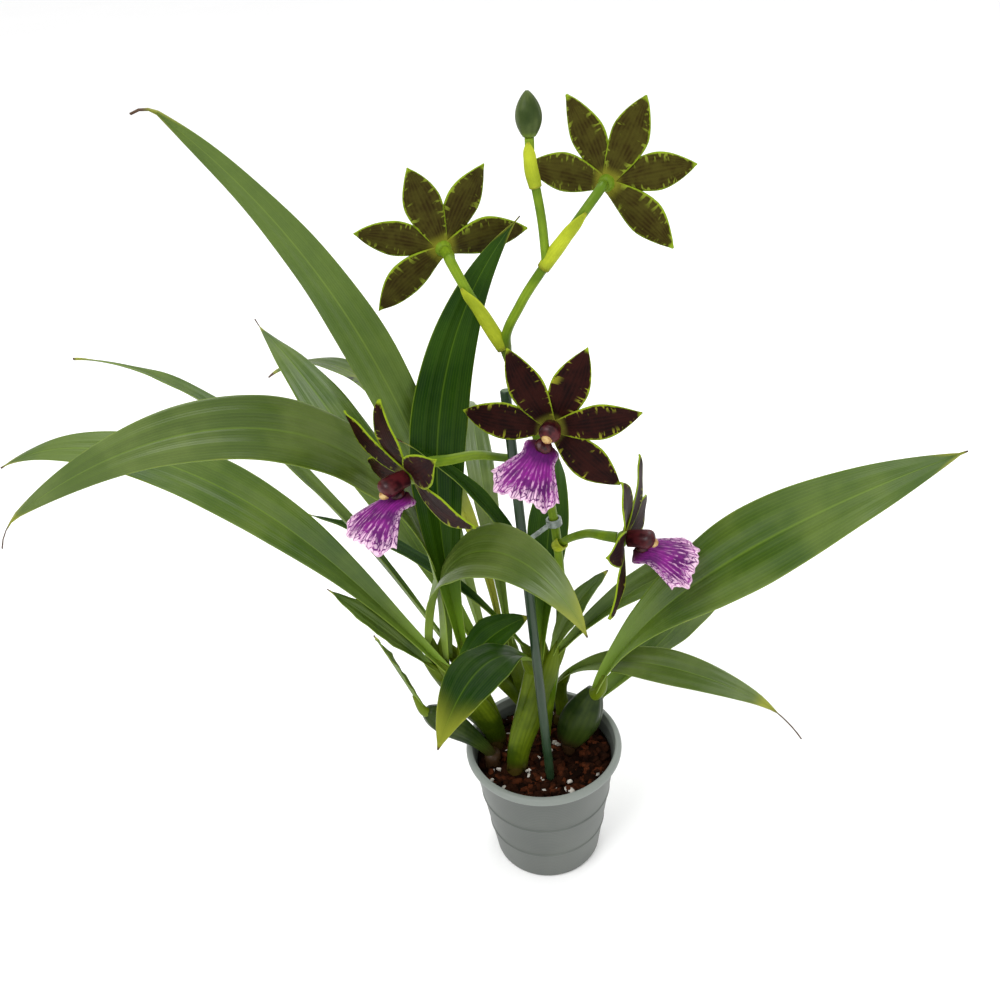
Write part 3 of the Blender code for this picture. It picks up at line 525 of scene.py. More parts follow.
def leaf_material(name, dark, light, pale, rough, shine=0.35, blemished=False):
    """Leaf skin: cloudy green, parallel veins, light base, margin and midrib, dry brown tip."""
    base = new_material(name, rough, shine)
    tree = base.tree
    green = mottle(tree, base.place, (dark, light), 22.0, 700.0, 0.14)
    lines = blade_veins(tree, base, 22.0, 4.0, 0.03, 0.022)
    ages = parted(tree, base.age)
    colour = green["Colour"]
    vein_share = times(tree, calc(tree, "POWER", lines["Veins"], 6.0), 0.10)
    pleat_share = times(tree, calc(tree, "POWER", lines["Pleats"], 14.0), 0.05)
    midrib_share = times(tree, lines["Midrib"], 0.30)
    base_share = times(tree, ages["Y"], 0.85)
    for share in (vein_share, pleat_share, midrib_share, base_share):
        colour = blend_colours(tree, share, colour, pale)
    colour = blend_colours(tree, times(tree, lines["Margin"], 0.6), colour, LEAF_MARGIN_COLOUR)
    if blemished:
        patch = step_between(tree, noise(tree, base.place, 26.0, 2.0), 0.52, 0.62)
        colour = blend_colours(tree, patch, colour, LEAF_PATCH_COLOUR)
        marks = step_between(tree, noise(tree, base.place, 75.0, 2.0), 0.66, 0.70)
        colour = blend_colours(tree, marks, colour, LEAF_SPOT_COLOUR)
    colour = blend_colours(tree, step_between(tree, ages["X"], 0.05, 0.45), colour, TIP_YELLOW)
    colour = blend_colours(tree, step_between(tree, ages["X"], 0.62, 0.95), colour, TIP_BROWN)
    sheen = plus(tree, rough - 0.05, times(tree, green["Cloud"], 0.1))
    relief = plus(tree, times(tree, lines["Veins"], 0.5), times(tree, green["Speckle"], 0.35))
    relief = minus(tree, relief, times(tree, lines["Midrib"], 1.2))
    return finish_material(base, colour, relief, 0.12 * MM, 0.7, sheen)


def stem_material(name, dark, light, ring, rough, ribs):
    """Smooth green stem with fine ribs; the first age value marks the darker joints."""
    base = new_material(name, rough, 0.12)
    tree = base.tree
    green = mottle(tree, base.place, (dark, light), 60.0, 1500.0, 0.18)
    lines = blade_veins(tree, base, ribs, 2.0, 0.001, 0.001)
    ages = parted(tree, base.age)
    colour = blend_colours(tree, times(tree, lines["Veins"], 0.3), green["Colour"], dark)
    colour = blend_colours(tree, ages["X"], colour, ring)
    colour = blend_colours(tree, ages["Y"], colour, light)
    return finish_material(base, colour, lines["Veins"], 0.10 * MM, 0.6)


def tepal_material(name, deep, warm, edge_colour, bar_colour, base_colour, level, reach):
    """Flower segment skin: dark ground with veins, narrow bright edge and short bars from it."""
    base = new_material(name, 0.55, 0.06)
    tree = base.tree
    ground = mottle(tree, base.place, (deep, warm), 150.0, 2200.0, 0.25)
    lines = blade_veins(tree, base, 9.0, 2.0, 0.05, 0.02)
    marks = place_group(tree, MARGIN_BARS, {
        "Pattern": base.pattern, "Place": base.place, "Edge width": 0.065, "Bar reach": reach,
        "Bar scale": 5.0, "Bar level": level,
    })
    colour = blend_colours(tree, times(tree, lines["Veins"], 0.45), ground["Colour"], warm)
    colour = blend_colours(tree, times(tree, lines["Midrib"], 0.35), colour, deep)
    colour = blend_colours(tree, marks["Bars"], colour, bar_colour)
    colour = blend_colours(tree, marks["Edge"], colour, edge_colour)
    near_base = step_between(tree, parted(tree, base.pattern)["Y"], 0.17, 0.03)
    colour = blend_colours(tree, near_base, colour, base_colour)
    relief = plus(tree, lines["Veins"], times(tree, ground["Speckle"], 0.6))
    return finish_material(base, colour, relief, 0.08 * MM, 0.6)


def lip_material(name, deep, bright, streak, edge_colour):
    """Lip skin: violet with radiating darker veins, broken white streaks and a netted pale edge."""
    base = new_material(name, 0.6, 0.2)
    tree = base.tree
    ground = mottle(tree, base.place, (deep, bright), 110.0, 1600.0, 0.2)
    lines = blade_veins(tree, base, 13.0, 3.0, 0.02, 0.05)
    parts = parted(tree, base.pattern)
    along = parts["Y"]
    colour = blend_colours(tree, times(tree, lines["Veins"], 0.55), ground["Colour"], deep)
    between = step_between(tree, lines["Veins"], 0.6, 0.15)
    patchy = noise(tree, stretched(tree, base.pattern, (30.0, 9.0, 1.0)), 1.0, 2.0)
    broken = step_between(tree, patchy, 0.46, 0.60)
    growing = step_between(tree, along, 0.30, 0.92)
    streaks = times(tree, times(tree, between, broken), growing)
    colour = blend_colours(tree, times(tree, streaks, 0.9), colour, streak)
    side = plus(tree, from_middle(tree, parts["X"]), 0.42)
    outward = calc(tree, "MAXIMUM", along, side)
    cells = stretched(tree, base.pattern, (26.0, 11.0, 1.0))
    net = add(tree, "ShaderNodeTexVoronoi", {"Vector": cells, "Scale": 1.0}, feature="DISTANCE_TO_EDGE")
    holes = step_between(tree, net.outputs["Distance"], 0.04, 0.16)
    rim = step_between(tree, outward, 0.76, 1.0)
    colour = blend_colours(tree, calc(tree, "MULTIPLY", holes, rim, clamp=True), colour, edge_colour)
    solid_rim = step_between(tree, outward, 0.955, 1.0)
    colour = blend_colours(tree, times(tree, solid_rim, 0.7), colour, edge_colour)
    colour = blend_colours(tree, step_between(tree, along, 0.24, 0.06), colour, THROAT_MAROON)
    relief = plus(tree, lines["Veins"], times(tree, ground["Speckle"], 0.5))
    return finish_material(base, colour, relief, 0.12 * MM, 0.7)


def mottled_material(name, first, second, rough, specular, cloud_scale, speckle_scale, speckle, relief):
    """A plain material with cloudy colour, fine speckle and matching relief in mm."""
    base = new_material(name, rough, specular)
    tree = base.tree
    tint = mottle(tree, base.place, (first, second), cloud_scale, speckle_scale, speckle)
    uneven = plus(tree, rough - 0.06, times(tree, tint["Cloud"], 0.12))
    return finish_material(base, tint["Colour"], tint["Speckle"], relief * MM, 0.6, uneven)


def pot_material(name, first, second, rim):
    """Worn plastic with faint turned lines; the band round the rolled rim is paler, a painted
    highlight.
    """
    base = new_material(name, 0.46, 0.35)
    tree = base.tree
    tint = mottle(tree, base.place, (first, second), 18.0, 1400.0, 0.05)
    height = parted(tree, base.place)["Z"]
    # The band round the rolled rim takes the third colour, a painted highlight where the bead faces the
    # light.
    rim_highlight = step_between(tree, height, POT_HEIGHT - 6 * MM, POT_HEIGHT - 4 * MM)
    colour = blend_colours(tree, rim_highlight, tint["Colour"], rim)
    turned = calc(tree, "SINE", times(tree, height, 2 * math.pi / TURNED_LINE_STEP))
    relief = plus(tree, times(tree, turned, 0.5), tint["Speckle"])
    return finish_material(base, colour, relief, 0.04 * MM, 0.5)


# Leaf skins by tone: plain green; a darker copy with painted shade for leaves deep in the plant; a
# lighter, greyer copy with painted sheen for the broad glossy leaves; green with blemishes.
LEAF_FRONTS = {
    "mid": leaf_material(
        "leaf_mid", (0.036, 0.078, 0.004), (0.082, 0.132, 0.014), (0.17, 0.28, 0.02), 0.40),
    "dark": leaf_material(
        "leaf_dark", (0.005, 0.028, 0.0005), (0.018, 0.054, 0.001), (0.12, 0.22, 0.010), 0.42, 0.09),
    "grey": leaf_material(
        "leaf_grey", (0.050, 0.088, 0.008), (0.102, 0.148, 0.026), (0.15, 0.25, 0.02), 0.36),
    "spotted": leaf_material(
        "leaf_spotted", (0.045, 0.08, 0.012), (0.10, 0.14, 0.025), (0.22, 0.30, 0.03), 0.4,
        blemished=True),
}
LEAF_BACK = leaf_material(
    "leaf_underside", (0.055, 0.105, 0.006), (0.090, 0.150, 0.014), (0.22, 0.32, 0.04), 0.5)

# Stems: dark and light green, colour of the joints, roughness and number of ribs.
STEMS = {
    "sheath_green": ((0.028, 0.052, 0.001), (0.10, 0.145, 0.004), (0.045, 0.022, 0.006), 0.42, 14.0),
    "spike_green": ((0.085, 0.16, 0.006), (0.19, 0.29, 0.014), (0.045, 0.05, 0.008), 0.40, 9.0),
    "bract_green": ((0.27, 0.33, 0.014), (0.44, 0.50, 0.024), (0.16, 0.12, 0.02), 0.5, 12.0),
    "bulb_green": ((0.008, 0.020, 0.002), (0.030, 0.050, 0.006), (0.03, 0.015, 0.006), 0.38, 18.0),
    "bud_green": ((0.022, 0.040, 0.006), (0.075, 0.105, 0.026), (0.13, 0.20, 0.02), 0.42, 10.0),
}
SHEATH, SPIKE, BRACT, BULB, BUD = (stem_material(name, *look) for name, look in STEMS.items())

TEPAL_FRONT = tepal_material(
    "tepal_maroon", (0.007, 0.0018, 0.0016), (0.022, 0.0045, 0.003), (0.24, 0.32, 0.012),
    (0.20, 0.20, 0.014), (0.17, 0.17, 0.02), 0.60, 0.30)
TEPAL_BACK = tepal_material(
    "tepal_back_olive", (0.028, 0.018, 0.002), (0.055, 0.048, 0.006), (0.21, 0.30, 0.012),
    (0.17, 0.21, 0.018), (0.17, 0.17, 0.014), 0.58, 0.32)
LIP_FRONT = lip_material(
    "lip_violet", (0.075, 0.002, 0.090), (0.250, 0.010, 0.235), (0.66, 0.38, 0.56),
    (0.76, 0.52, 0.66))
# The third colour is the painted highlight on the rolled rim.
POT = pot_material(
    "pot_plastic", (0.078, 0.087, 0.078), (0.100, 0.110, 0.098), (0.185, 0.205, 0.186))

# Plain surfaces: two colours, roughness, specular level, cloud scale, speckle scale,
# strength of the speckle and relief in mm.
PLAIN = {
    "lip_back_lilac": ((0.26, 0.06, 0.25), (0.45, 0.20, 0.42), 0.6, 0.2, 130.0, 900.0, 0.2, 0.1),
    "column_maroon": ((0.020, 0.002, 0.004), (0.075, 0.007, 0.010), 0.38, 0.25, 200.0, 1800.0, 0.12,
                      0.02),
    "anther_cream": ((0.36, 0.18, 0.05), (0.58, 0.40, 0.15), 0.45, 0.5, 400.0, 2500.0, 0.2, 0.04),
    "callus_brown": ((0.018, 0.002, 0.004), (0.070, 0.009, 0.010), 0.35, 0.3, 500.0, 2500.0, 0.15,
                     0.03),
    "bark_mix": ((0.007, 0.0025, 0.001), (0.028, 0.009, 0.004), 0.9, 0.04, 160.0, 1500.0, 0.5, 0.4),
    "bark_chip": ((0.010, 0.003, 0.001), (0.10, 0.026, 0.009), 0.85, 0.05, 120.0, 1600.0, 0.55, 0.35),
    "perlite": ((0.40, 0.37, 0.32), (0.60, 0.57, 0.52), 0.85, 0.2, 300.0, 1500.0, 0.25, 0.25),
    "stake_green": ((0.010, 0.030, 0.010), (0.020, 0.045, 0.018), 0.36, 0.4, 60.0, 1600.0, 0.1, 0.05),
    "stake_cut": ((0.09, 0.14, 0.07), (0.13, 0.19, 0.10), 0.5, 0.5, 300.0, 2000.0, 0.2, 0.05),
    "clip_plastic": ((0.16, 0.19, 0.17), (0.28, 0.33, 0.30), 0.28, 0.5, 200.0, 1500.0, 0.08, 0.03),
}
LIP_BACK, COLUMN, CAP, CREST, BARK, CHIP, PERLITE, STAKE, STAKE_CUT, CLIP = (
    mottled_material(name, *look) for name, look in PLAIN.items())


# Meshes

class Skin:
    """Collects points, faces and the two patterns laid along them, and makes one piece of them."""

    def __init__(self):
        self.points = []
        self.faces = []
        self.pattern = []
        self.age = []
        self.finish = []

    def add(self, points, faces, pattern, age, finish=0):
        """Pattern has one pair for each corner of each face, age one pair for each point."""
        start = len(self.points)
        self.points.extend(tuple(point) for point in points)
        for face, corners in zip(faces, pattern):
            self.faces.append(tuple(start + index for index in face))
            self.pattern.extend(corners)
            self.age.extend(age[index] for index in face)
            self.finish.append(finish)

    def add_plain(self, points, faces, finish=0):
        """Faces whose materials need no pattern along them."""
        pattern = [[(0.0, 0.0)] * len(face) for face in faces]
        self.add(points, faces, pattern, [(0.0, 0.0)] * len(points), finish)

    def piece(self, name, materials, slot, nodes, place=None):
        """Make the object, tie it to the nodes that it replaces and return it."""
        mesh = bpy.data.meshes.new(name)
        mesh.from_pydata(self.points, [], self.faces)
        for label, values in (("pattern", self.pattern), ("age", self.age)):
            layer = mesh.uv_layers.new(name=label)
            layer.data.foreach_set("uv", np.asarray(values, np.float32).reshape(-1))
        for material in materials:
            mesh.materials.append(material)
        mesh.polygons.foreach_set("material_index", self.finish)
        mesh.shade_smooth()
        thing = bpy.data.objects.new(name, mesh)
        bpy.context.scene.collection.objects.link(thing)
        if place is not None:
            mesh.transform(place)
        mesh.update()
        return register(thing, nodes)


def register(thing, nodes):
    """Hang a piece on the frame in place of the nodes that it replaces."""
    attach(thing, ROOT)
    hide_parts(*nodes)
    return thing


def grid_corners(rows, columns, reverse=False, start=0):
    """Faces of a grid of points and the pattern at their corners."""
    faces = []
    corners = []
    for row in range(rows - 1):
        for column in range(columns - 1):
            a = row * columns + column
            face = [a, a + 1, a + columns + 1, a + columns]
            u0 = column / (columns - 1)
            u1 = (column + 1) / (columns - 1)
            v0 = row / (rows - 1)
            v1 = (row + 1) / (rows - 1)
            spots = [(u0, v0), (u1, v0), (u1, v1), (u0, v1)]
            if reverse:
                face.reverse()
                spots.reverse()
            faces.append([start + index for index in face])
            corners.append(spots)
    return faces, corners


def add_sheet(skin, grid, normals, thickness, age, front=0, back=0):
    """A thin closed solid around a grid of points; age has one pair for each grid point."""
    grid = np.asarray(grid)
    normals = np.asarray(normals)
    rows, columns, _ = grid.shape
    thickness = np.asarray(thickness)
    offset = normals * (thickness / 2)
    points = np.concatenate([(grid + offset).reshape(-1, 3), (grid - offset).reshape(-1, 3)])
    ages = list(age) + list(age)
    under = rows * columns
    faces, corners = grid_corners(rows, columns)
    skin.add(points, faces, corners, ages, front)
    start = len(skin.points) - len(points)
    faces, corners = grid_corners(rows, columns, True, under)
    border = list(range(columns))
    border += [row * columns + columns - 1 for row in range(1, rows)]
    border += [(rows - 1) * columns + column for column in range(columns - 2, -1, -1)]
    border += [row * columns for row in range(rows - 2, 0, -1)]
    for index, first in enumerate(border):
        second = border[(index + 1) % len(border)]
        faces.append([second, first, under + first, under + second])
        spot = ((first % columns) / (columns - 1), (first // columns) / (rows - 1))
        corners.append([spot] * 4)
    for face, spots in zip(faces, corners):
        skin.faces.append(tuple(start + index for index in face))
        skin.pattern.extend(spots)
        skin.age.extend(ages[index] for index in face)
        skin.finish.append(back)


def angles_round(sides):
    """The angle of each corner of a ring."""
    return [2 * math.pi * corner / sides for corner in range(sides)]


def ring_faces(rings, sides, first=0, closed=False):
    """Faces between rings of points; a closed stack joins its last ring to its first one."""
    faces = []
    for ring in range(rings if closed else rings - 1):
        low = first + ring * sides
        high = first + (ring + 1) % rings * sides
        for corner in range(sides):
            following = (corner + 1) % sides
            faces.append((low + corner, low + following, high + following, high + corner))
    return faces


def add_tube(skin, path, radii, sides, flatness=1.0, age=None, finish=0, outline=None,
             first_side=None):
    """A closed tube along a path; outline gives a share of the radius for an angle."""
    side = first_side or Vector((1, 0, 0))
    last = len(path) - 1
    points = []
    for index, centre in enumerate(path):
        along = (path[min(index + 1, last)] - path[max(index - 1, 0)]).normalized()
        side = (side - along * side.dot(along)).normalized()
        other = along.cross(side)
        for angle in angles_round(sides):
            reach = radii[index] * (outline(angle) if outline else 1.0)
            outward = math.cos(angle) * side + flatness * math.sin(angle) * other
            points.append(centre + reach * outward)
    faces = ring_faces(len(path), sides)
    corners = []
    for ring in range(last):
        for corner in range(sides):
            u0 = corner / sides
            u1 = (corner + 1) / sides
            v0 = ring / last
            v1 = (ring + 1) / last
            corners.append([(u0, v0), (u1, v0), (u1, v1), (u0, v1)])
    faces.append(tuple(reversed(range(sides))))
    corners.append([(0.5, 0.0)] * sides)
    faces.append(tuple(range(last * sides, (last + 1) * sides)))
    corners.append([(0.5, 1.0)] * sides)
    ages = []
    for index in range(len(path)):
        ages.extend([age[index] if age else (0.0, 0.0)] * sides)
    skin.add(points, faces, corners, ages, finish)


def smooth_path(points, steps):
    """Points along a Catmull-Rom curve through the given points."""
    anchors = [Vector(point) for point in points]
    anchors = [2 * anchors[0] - anchors[1], *anchors, 2 * anchors[-1] - anchors[-2]]
    path = []
    for index in range(1, len(anchors) - 2):
        before, start, end, after = anchors[index - 1:index + 3]
        for step in range(steps):
            t = step / steps
            path.append(0.5 * (2 * start + (end - before) * t
                               + (2 * before - 5 * start + 4 * end - after) * t * t
                               + (3 * start - before - 3 * end + after) * t ** 3))
    path.append(anchors[-2])
    return path


def eased(value, start, end):
    """A smooth step in plain numbers."""
    t = min(max((value - start) / (end - start), 0.0), 1.0)
    return t * t * (3 - 2 * t)


# Leaves

def blade_width(share, neck):
    """Width of a leaf at a share of its length, as a share of its greatest width."""
    if share < BLADE_WIDEST:
        rise = math.sin(math.pi / 2 * share / BLADE_WIDEST) ** 2.2
        return neck + (1 - neck) * rise
    run = (share - BLADE_WIDEST) / (1 - BLADE_WIDEST)
    return max(1 - run ** 1.6, 0.0) ** 0.95


def blade_direction(entry, share):
    """A leaf's compass angle and direction at a share of its length."""
    azimuth = math.radians(entry.azimuth + entry.sway * share)
    drop = entry.curl * max(share - (1 - 1.6 * entry.dry), 0) / max(1.6 * entry.dry, 0.001)
    climb = math.radians(entry.rise - entry.arch * share ** entry.bend - drop)
    level = math.cos(climb)
    return azimuth, Vector((level * math.cos(azimuth), level * math.sin(azimuth), math.sin(climb)))


def blade_frames(entry):
    """Centre, direction, sideways and upward vectors along a leaf's midrib."""
    steps = max(16, round(entry.length / BLADE_STEP))
    frames = []
    centre = entry.root.copy()
    for step in range(steps + 1):
        share = step / steps
        azimuth, along = blade_direction(entry, share)
        side = Vector((math.sin(azimuth), -math.cos(azimuth), 0))
        side = Matrix.Rotation(math.radians(entry.roll + entry.twist * share), 3, along) @ side
        frames.append((share, centre.copy(), along, side, side.cross(along)))
        centre += blade_direction(entry, (step + 0.5) / steps)[1] * entry.length / steps
    return frames


def build_leaf(entry, nodes):
    """A leaf folded at its base that opens along its length, pleated, waved and drawn to a tip."""
    draw = random.Random(entry.name)
    phase = draw.uniform(0, 6)
    grid = []
    normals = []
    ages = []
    thickness = []
    for share, centre, _, side, upward in blade_frames(entry):
        opening = min(share / OPEN_SHARE, 1.0)
        fold = math.radians(BASE_FOLD + (entry.fold - BASE_FOLD) * opening ** 0.8)
        fold *= min(1.0, 0.2 + 4 * (1 - share))
        green_share = min(share / (1 - 0.8 * entry.dry), 1.0)
        half = max(entry.width * blade_width(green_share, entry.neck) / 2, TIP_HALF_WIDTH)
        pleat = PLEAT_DEPTH * half * opening * min(1, 6 * (1 - share))
        row = []
        line = []
        widths = []
        for column in range(BLADE_COLUMNS + 1):
            across = 2 * column / BLADE_COLUMNS - 1
            reach = abs(across) * half
            droop = EDGE_DROOP * half * across * across * opening
            ripple = entry.wave * math.sin(WAVE_RATE * share + 2 * across)
            ripple *= max(share - 0.15, 0) * across ** 2
            flutter = FLUTTER * math.sin(FLUTTER_RATE * share + phase + 1.4 * across)
            flutter *= abs(across) ** 3 * opening
            ribs = pleat * math.cos(4 * math.pi * across) * (1 - across ** 4)
            groove = -MIDRIB_DEPTH * half * math.exp(-(across / MIDRIB_WIDTH) ** 2) * opening
            height = reach * math.sin(fold) - droop + ripple + flutter + ribs + groove
            row.append(centre + side * math.copysign(reach * math.cos(fold), across) + upward * height)
            lean = math.copysign(math.sin(fold), across) * min(abs(across) * 6, 1)
            line.append((upward * math.cos(fold) - side * lean).normalized())
            widths.append([BLADE_THICKNESS * (0.55 + 0.45 * (1 - abs(across)) ** 0.5)])
            margin_dry = 0.25 * max(abs(across) - 0.9, 0) / 0.1 * draw.random() ** 3
            dryness = eased(share, 1 - 1.7 * entry.dry - 0.003, 1 - 0.5 * entry.dry)
            yellowness = 0.36 * eased(share + 0.05 * abs(across), 1 - entry.tip, 1.02)
            dryness = max(dryness, yellowness)
            paleness = 1 - eased(share, 0.03, entry.pale + 0.05 * abs(across))
            ages.append((min(dryness + margin_dry, 1.0), paleness))
        grid.append(row)
        normals.append(line)
        thickness.append(widths)
    skin = Skin()
    add_sheet(skin, grid, normals, thickness, ages, 0, 1)
    skin.piece("leaf_" + entry.name, [LEAF_FRONTS[entry.tone], LEAF_BACK], "leaf_green", nodes)


def add_sheath(skin, entry, foot, radii):
    """The leaf's clasping base, from the shoot's foot up to where the blade opens."""
    _, root, along, _, _ = blade_frames(entry)[0]
    reach = (root - foot).length
    path = []
    spread = []
    ages = []
    start, end = (value * MM for value in radii)
    for step in range(SHEATH_STEPS + 1):
        t = step / SHEATH_STEPS
        pull = Vector((0, 0, 1)) * reach
        ease = along * reach
        path.append((2 * t ** 3 - 3 * t * t + 1) * foot + (t ** 3 - 2 * t * t + t) * pull
                    + (3 * t * t - 2 * t ** 3) * root + (t ** 3 - t * t) * ease)
        spread.append(start + (end - start) * t)
        ages.append((0.8 * (1 - eased(t, 0.02, 0.12)), 0.4 * eased(t, 0.3, 1.0)))
    for step in range(1, SHEATH_TIP_STEPS + 1):
        t = step / SHEATH_TIP_STEPS
        path.append(root + along * SHEATH_TIP * t)
        spread.append(end * (1 - 0.93 * t ** 1.3))
        ages.append((0.0, 0.4))

    def keeled(angle):
        return 1 + 0.16 * max(math.cos(angle), 0) ** 6 - 0.22 * max(-math.cos(angle), 0) ** 8

    add_tube(skin, path, spread, SHEATH_SIDES, SHEATH_FLATNESS, ages, 0, keeled)


def root_stub(foot, rises):
    """The upright line from a shoot's foot in the bark; rises are in mm above its lowest point."""
    return [Vector((foot.x, foot.y, SOIL_TOP - ROOT_DEPTH + rise * MM)) for rise in rises]


def build_growth(growth):
    """One leafy shoot: its foot, the clasping bases and the leaves."""
    nodes = (growth.name,)
    skin = Skin()
    foot = growth.foot
    path = root_stub(foot, range(0, 15, 2))
    last = len(path) - 1
    radii = [FOOT_RADIUS * (0.95 - 0.35 * (index / last) ** 3) for index in range(last + 1)]
    add_tube(skin, path, radii, 24, 1.0, [(0.85, 0.0)] * len(path))
    for entry in growth.leaves:
        add_sheath(skin, entry, foot, growth.sheath)
    skin.piece(growth.name + "_sheaths", [SHEATH], "leaf_green", nodes)
    for entry in growth.leaves:
        build_leaf(entry, nodes)


def build_pseudobulb(bulb):
    """A ridged, egg-shaped storage stem with the petiole and the leaf at its apex."""
    nodes = (bulb.name,)
    rings = 30
    span = bulb.apex - bulb.foot
    along = span.normalized()
    path = []
    radii = []
    ages = []
    for ring in range(rings):
        t = ring / (rings - 1)
        path.append(bulb.foot + Vector((span.x * t, span.y * t, span.z * t ** bulb.lean)))
        swell = math.sin(math.pi * (0.12 + 0.86 * t) ** bulb.belly) ** 0.9
        radii.append(bulb.radius * (0.34 + 0.66 * swell))
        ages.append((0.7 * (1 - eased(t, 0.0, 0.2)), 0.35 * eased(t, 0.8, 1.0)))
    skin = Skin()
    side = Vector((0, 1, 0)).cross(along).normalized()
    add_tube(skin, path, radii, BULB_SIDES, 0.8, ages, 0,
             lambda angle: 1 + 0.05 * math.cos(BULB_RIDGES * angle), side)
    foot = root_stub(bulb.foot, (0, 4, 8, 12, 17))
    add_tube(skin, foot, [BULB_FOOT_RADIUS] * len(foot), 24, 1.0, [(1.0, 0.0)] * len(foot))
    _, root, direction, _, _ = blade_frames(bulb.leaf)[0]
    reach = smooth_path([bulb.apex - along * 4 * MM, root, root + direction * 12 * MM], 6)
    last = len(reach) - 1
    girth = [bulb.radius * (0.36 - 0.24 * (index / last) ** 2) for index in range(last + 1)]
    add_tube(skin, reach, girth, 20, 1.0, [(0.0, 0.9)] * len(reach), 1)
    skin.piece(bulb.name + "_stem", [BULB, SHEATH], "bulb_green", nodes)
    build_leaf(bulb.leaf, nodes)


# Flower spike

def bloom_frame(bloom):
    """Place of a bloom: +Z is where its face looks and +Y is its dorsal side."""
    forward = Vector(bloom.facing).normalized()
    dorsal = Vector(bloom.dorsal)
    dorsal = (dorsal - forward * dorsal.dot(forward)).normalized()
    across = dorsal.cross(forward)
    turn = Matrix((across, dorsal, forward)).transposed().to_4x4()
    return Matrix.Translation(Vector(bloom.centre) * MM) @ turn


def grooved(angle):
    """Outline of a stalk with five shallow grooves."""
    return 1 + 0.045 * math.cos(5 * angle)


def build_bract(skin, stem, start, length, width, open_side):
    """A pale pointed sheath that wraps its stem, open along one side and free at its tip."""
    start = Vector(start) * MM
    first = min(range(len(stem)), key=lambda index: (stem[index] - start).length)
    path = [stem[first]]
    for spot in stem[first + 1:]:
        path.append(spot)
        if (spot - path[0]).length > length * MM:
            break
    path = smooth_path(path, max(1, round(24 / len(path))))
    grid = []
    normals = []
    ages = []
    columns = 24
    last = len(path) - 1
    for step, centre in enumerate(path):
        share = step / last
        along = (path[min(step + 1, last)] - path[max(step - 1, 0)]).normalized()
        back = (open_side - along * open_side.dot(along)).normalized() * -1
        side = along.cross(back)
        spread = math.radians(BRACT_WRAP) * (1 - 0.93 * share ** 1.8)
        belly = math.sin(math.pi * min(share * 1.6, 1))
        reach = width / 2 * MM * (0.88 + 0.12 * belly - 0.12 * share)
        spring = BRACT_SPRING * max(share - 0.75, 0) / 0.25
        row = []
        line = []
        for column in range(columns + 1):
            across = 2 * column / columns - 1
            outward = back * math.cos(across * spread) + side * math.sin(across * spread)
            row.append(centre + outward * (reach + 0.25 * MM * abs(across) ** 3) + back * spring)
            line.append(outward)
            ages.append((0.6 * eased(share, 0.94, 1.0) + 0.5 * (1 - eased(share, 0.0, 0.06)),
                         0.6 * eased(abs(across), 0.5, 1.0)))
        grid.append(row)
        normals.append(line)
    add_sheet(skin, grid, normals, BRACT_THICKNESS, ages)


def build_spike():
    """The stem with its joints, the stalks of the flowers and the bud, and the bracts."""
    nodes = ("flower_spike",)
    top = bloom_frame(BLOOMS[1])
    anchors = [Vector(point) * MM for point in SPIKE_PATH]
    anchors.append(top @ Vector((0, 0, -RECEPTACLE_DEPTH - 5 * MM)))
    anchors.append(top @ Vector((0, 0, -RECEPTACLE_DEPTH - 0.6 * MM)))
    steps = 10
    curve = smooth_path(anchors, steps)
    radii = []
    ages = []
    for index in range(len(curve)):
        share = index / (steps * len(anchors))
        radius = SPIKE_RADIUS + (STALK_RADIUS - SPIKE_RADIUS) * share ** 2
        near = min(abs(index - steps * joint) for joint in SPIKE_NODES)
        swell = math.exp(-(near / 1.2) ** 2)
        radii.append(radius * (1 + 0.22 * swell))
        ages.append((0.55 * swell, 0.0))
    skin = Skin()
    stems = {"spike": curve}
    add_tube(skin, curve, radii, 20, 1.0, ages, 0, grooved)
    for bloom in BLOOMS:
        if bloom.name in STALKS:
            place = bloom_frame(bloom)
            points = [Vector(point) * MM for point in STALKS[bloom.name]]
            points.append(place @ Vector((0, 0, -RECEPTACLE_DEPTH - 7 * MM)))
            points.append(place @ Vector((0, 0, -RECEPTACLE_DEPTH - 0.6 * MM)))
            stalk = smooth_path(points, 8)
            count = len(stalk)
            thick = [STALK_RADIUS * (0.9 + 0.5 * index / count) for index in range(count)]
            add_tube(skin, stalk, thick, 20, 1.0, None, 0, grooved)
            stems[bloom.name] = stalk
    bud_stalk = smooth_path([Vector(point) * MM for point in BUD_STALK], 8)
    add_tube(skin, bud_stalk, [STALK_RADIUS] * len(bud_stalk), 20, 1.0, None, 0, grooved)
    stems["bud"] = bud_stalk
    skin.piece("spike_and_stalks", [SPIKE], "spike_green", nodes)
    bracts = Skin()
    for stem, start, length, width in BRACTS:
        build_bract(bracts, stems[stem], start, length, width, Vector((0.2, 1, 0.2)))
    bracts.piece("spike_bracts", [BRACT], "spike_green", nodes)


def build_bud():
    """The closed bud: an egg with the overlapping edges of its folded sepals as ridges."""
    start = Vector(BUD_STALK[-1]) * MM
    along = (start - Vector(BUD_STALK[-2]) * MM).normalized()
    rings = 26
    path = []
    radii = []
    ages = []
    for ring in range(rings):
        t = ring / (rings - 1)
        path.append(start + along * (0.3 * MM + BUD_LENGTH * t))
        radii.append(BUD_RADIUS * math.sin(math.pi * (0.12 + 0.86 * t)) ** 0.75)
        ages.append((0.7 * (1 - eased(t, 0.0, 0.14)), 0.5 * eased(t, 0.85, 1.0)))
    skin = Skin()
    add_tube(skin, path, radii, 48, 1.0, ages, 0,
             lambda angle: 1 + 0.07 * max(math.cos(3 * angle + 0.4), 0) ** 8)
    skin.piece("bud_closed", [BUD], "bud_green", ("bud",))


# Blooms

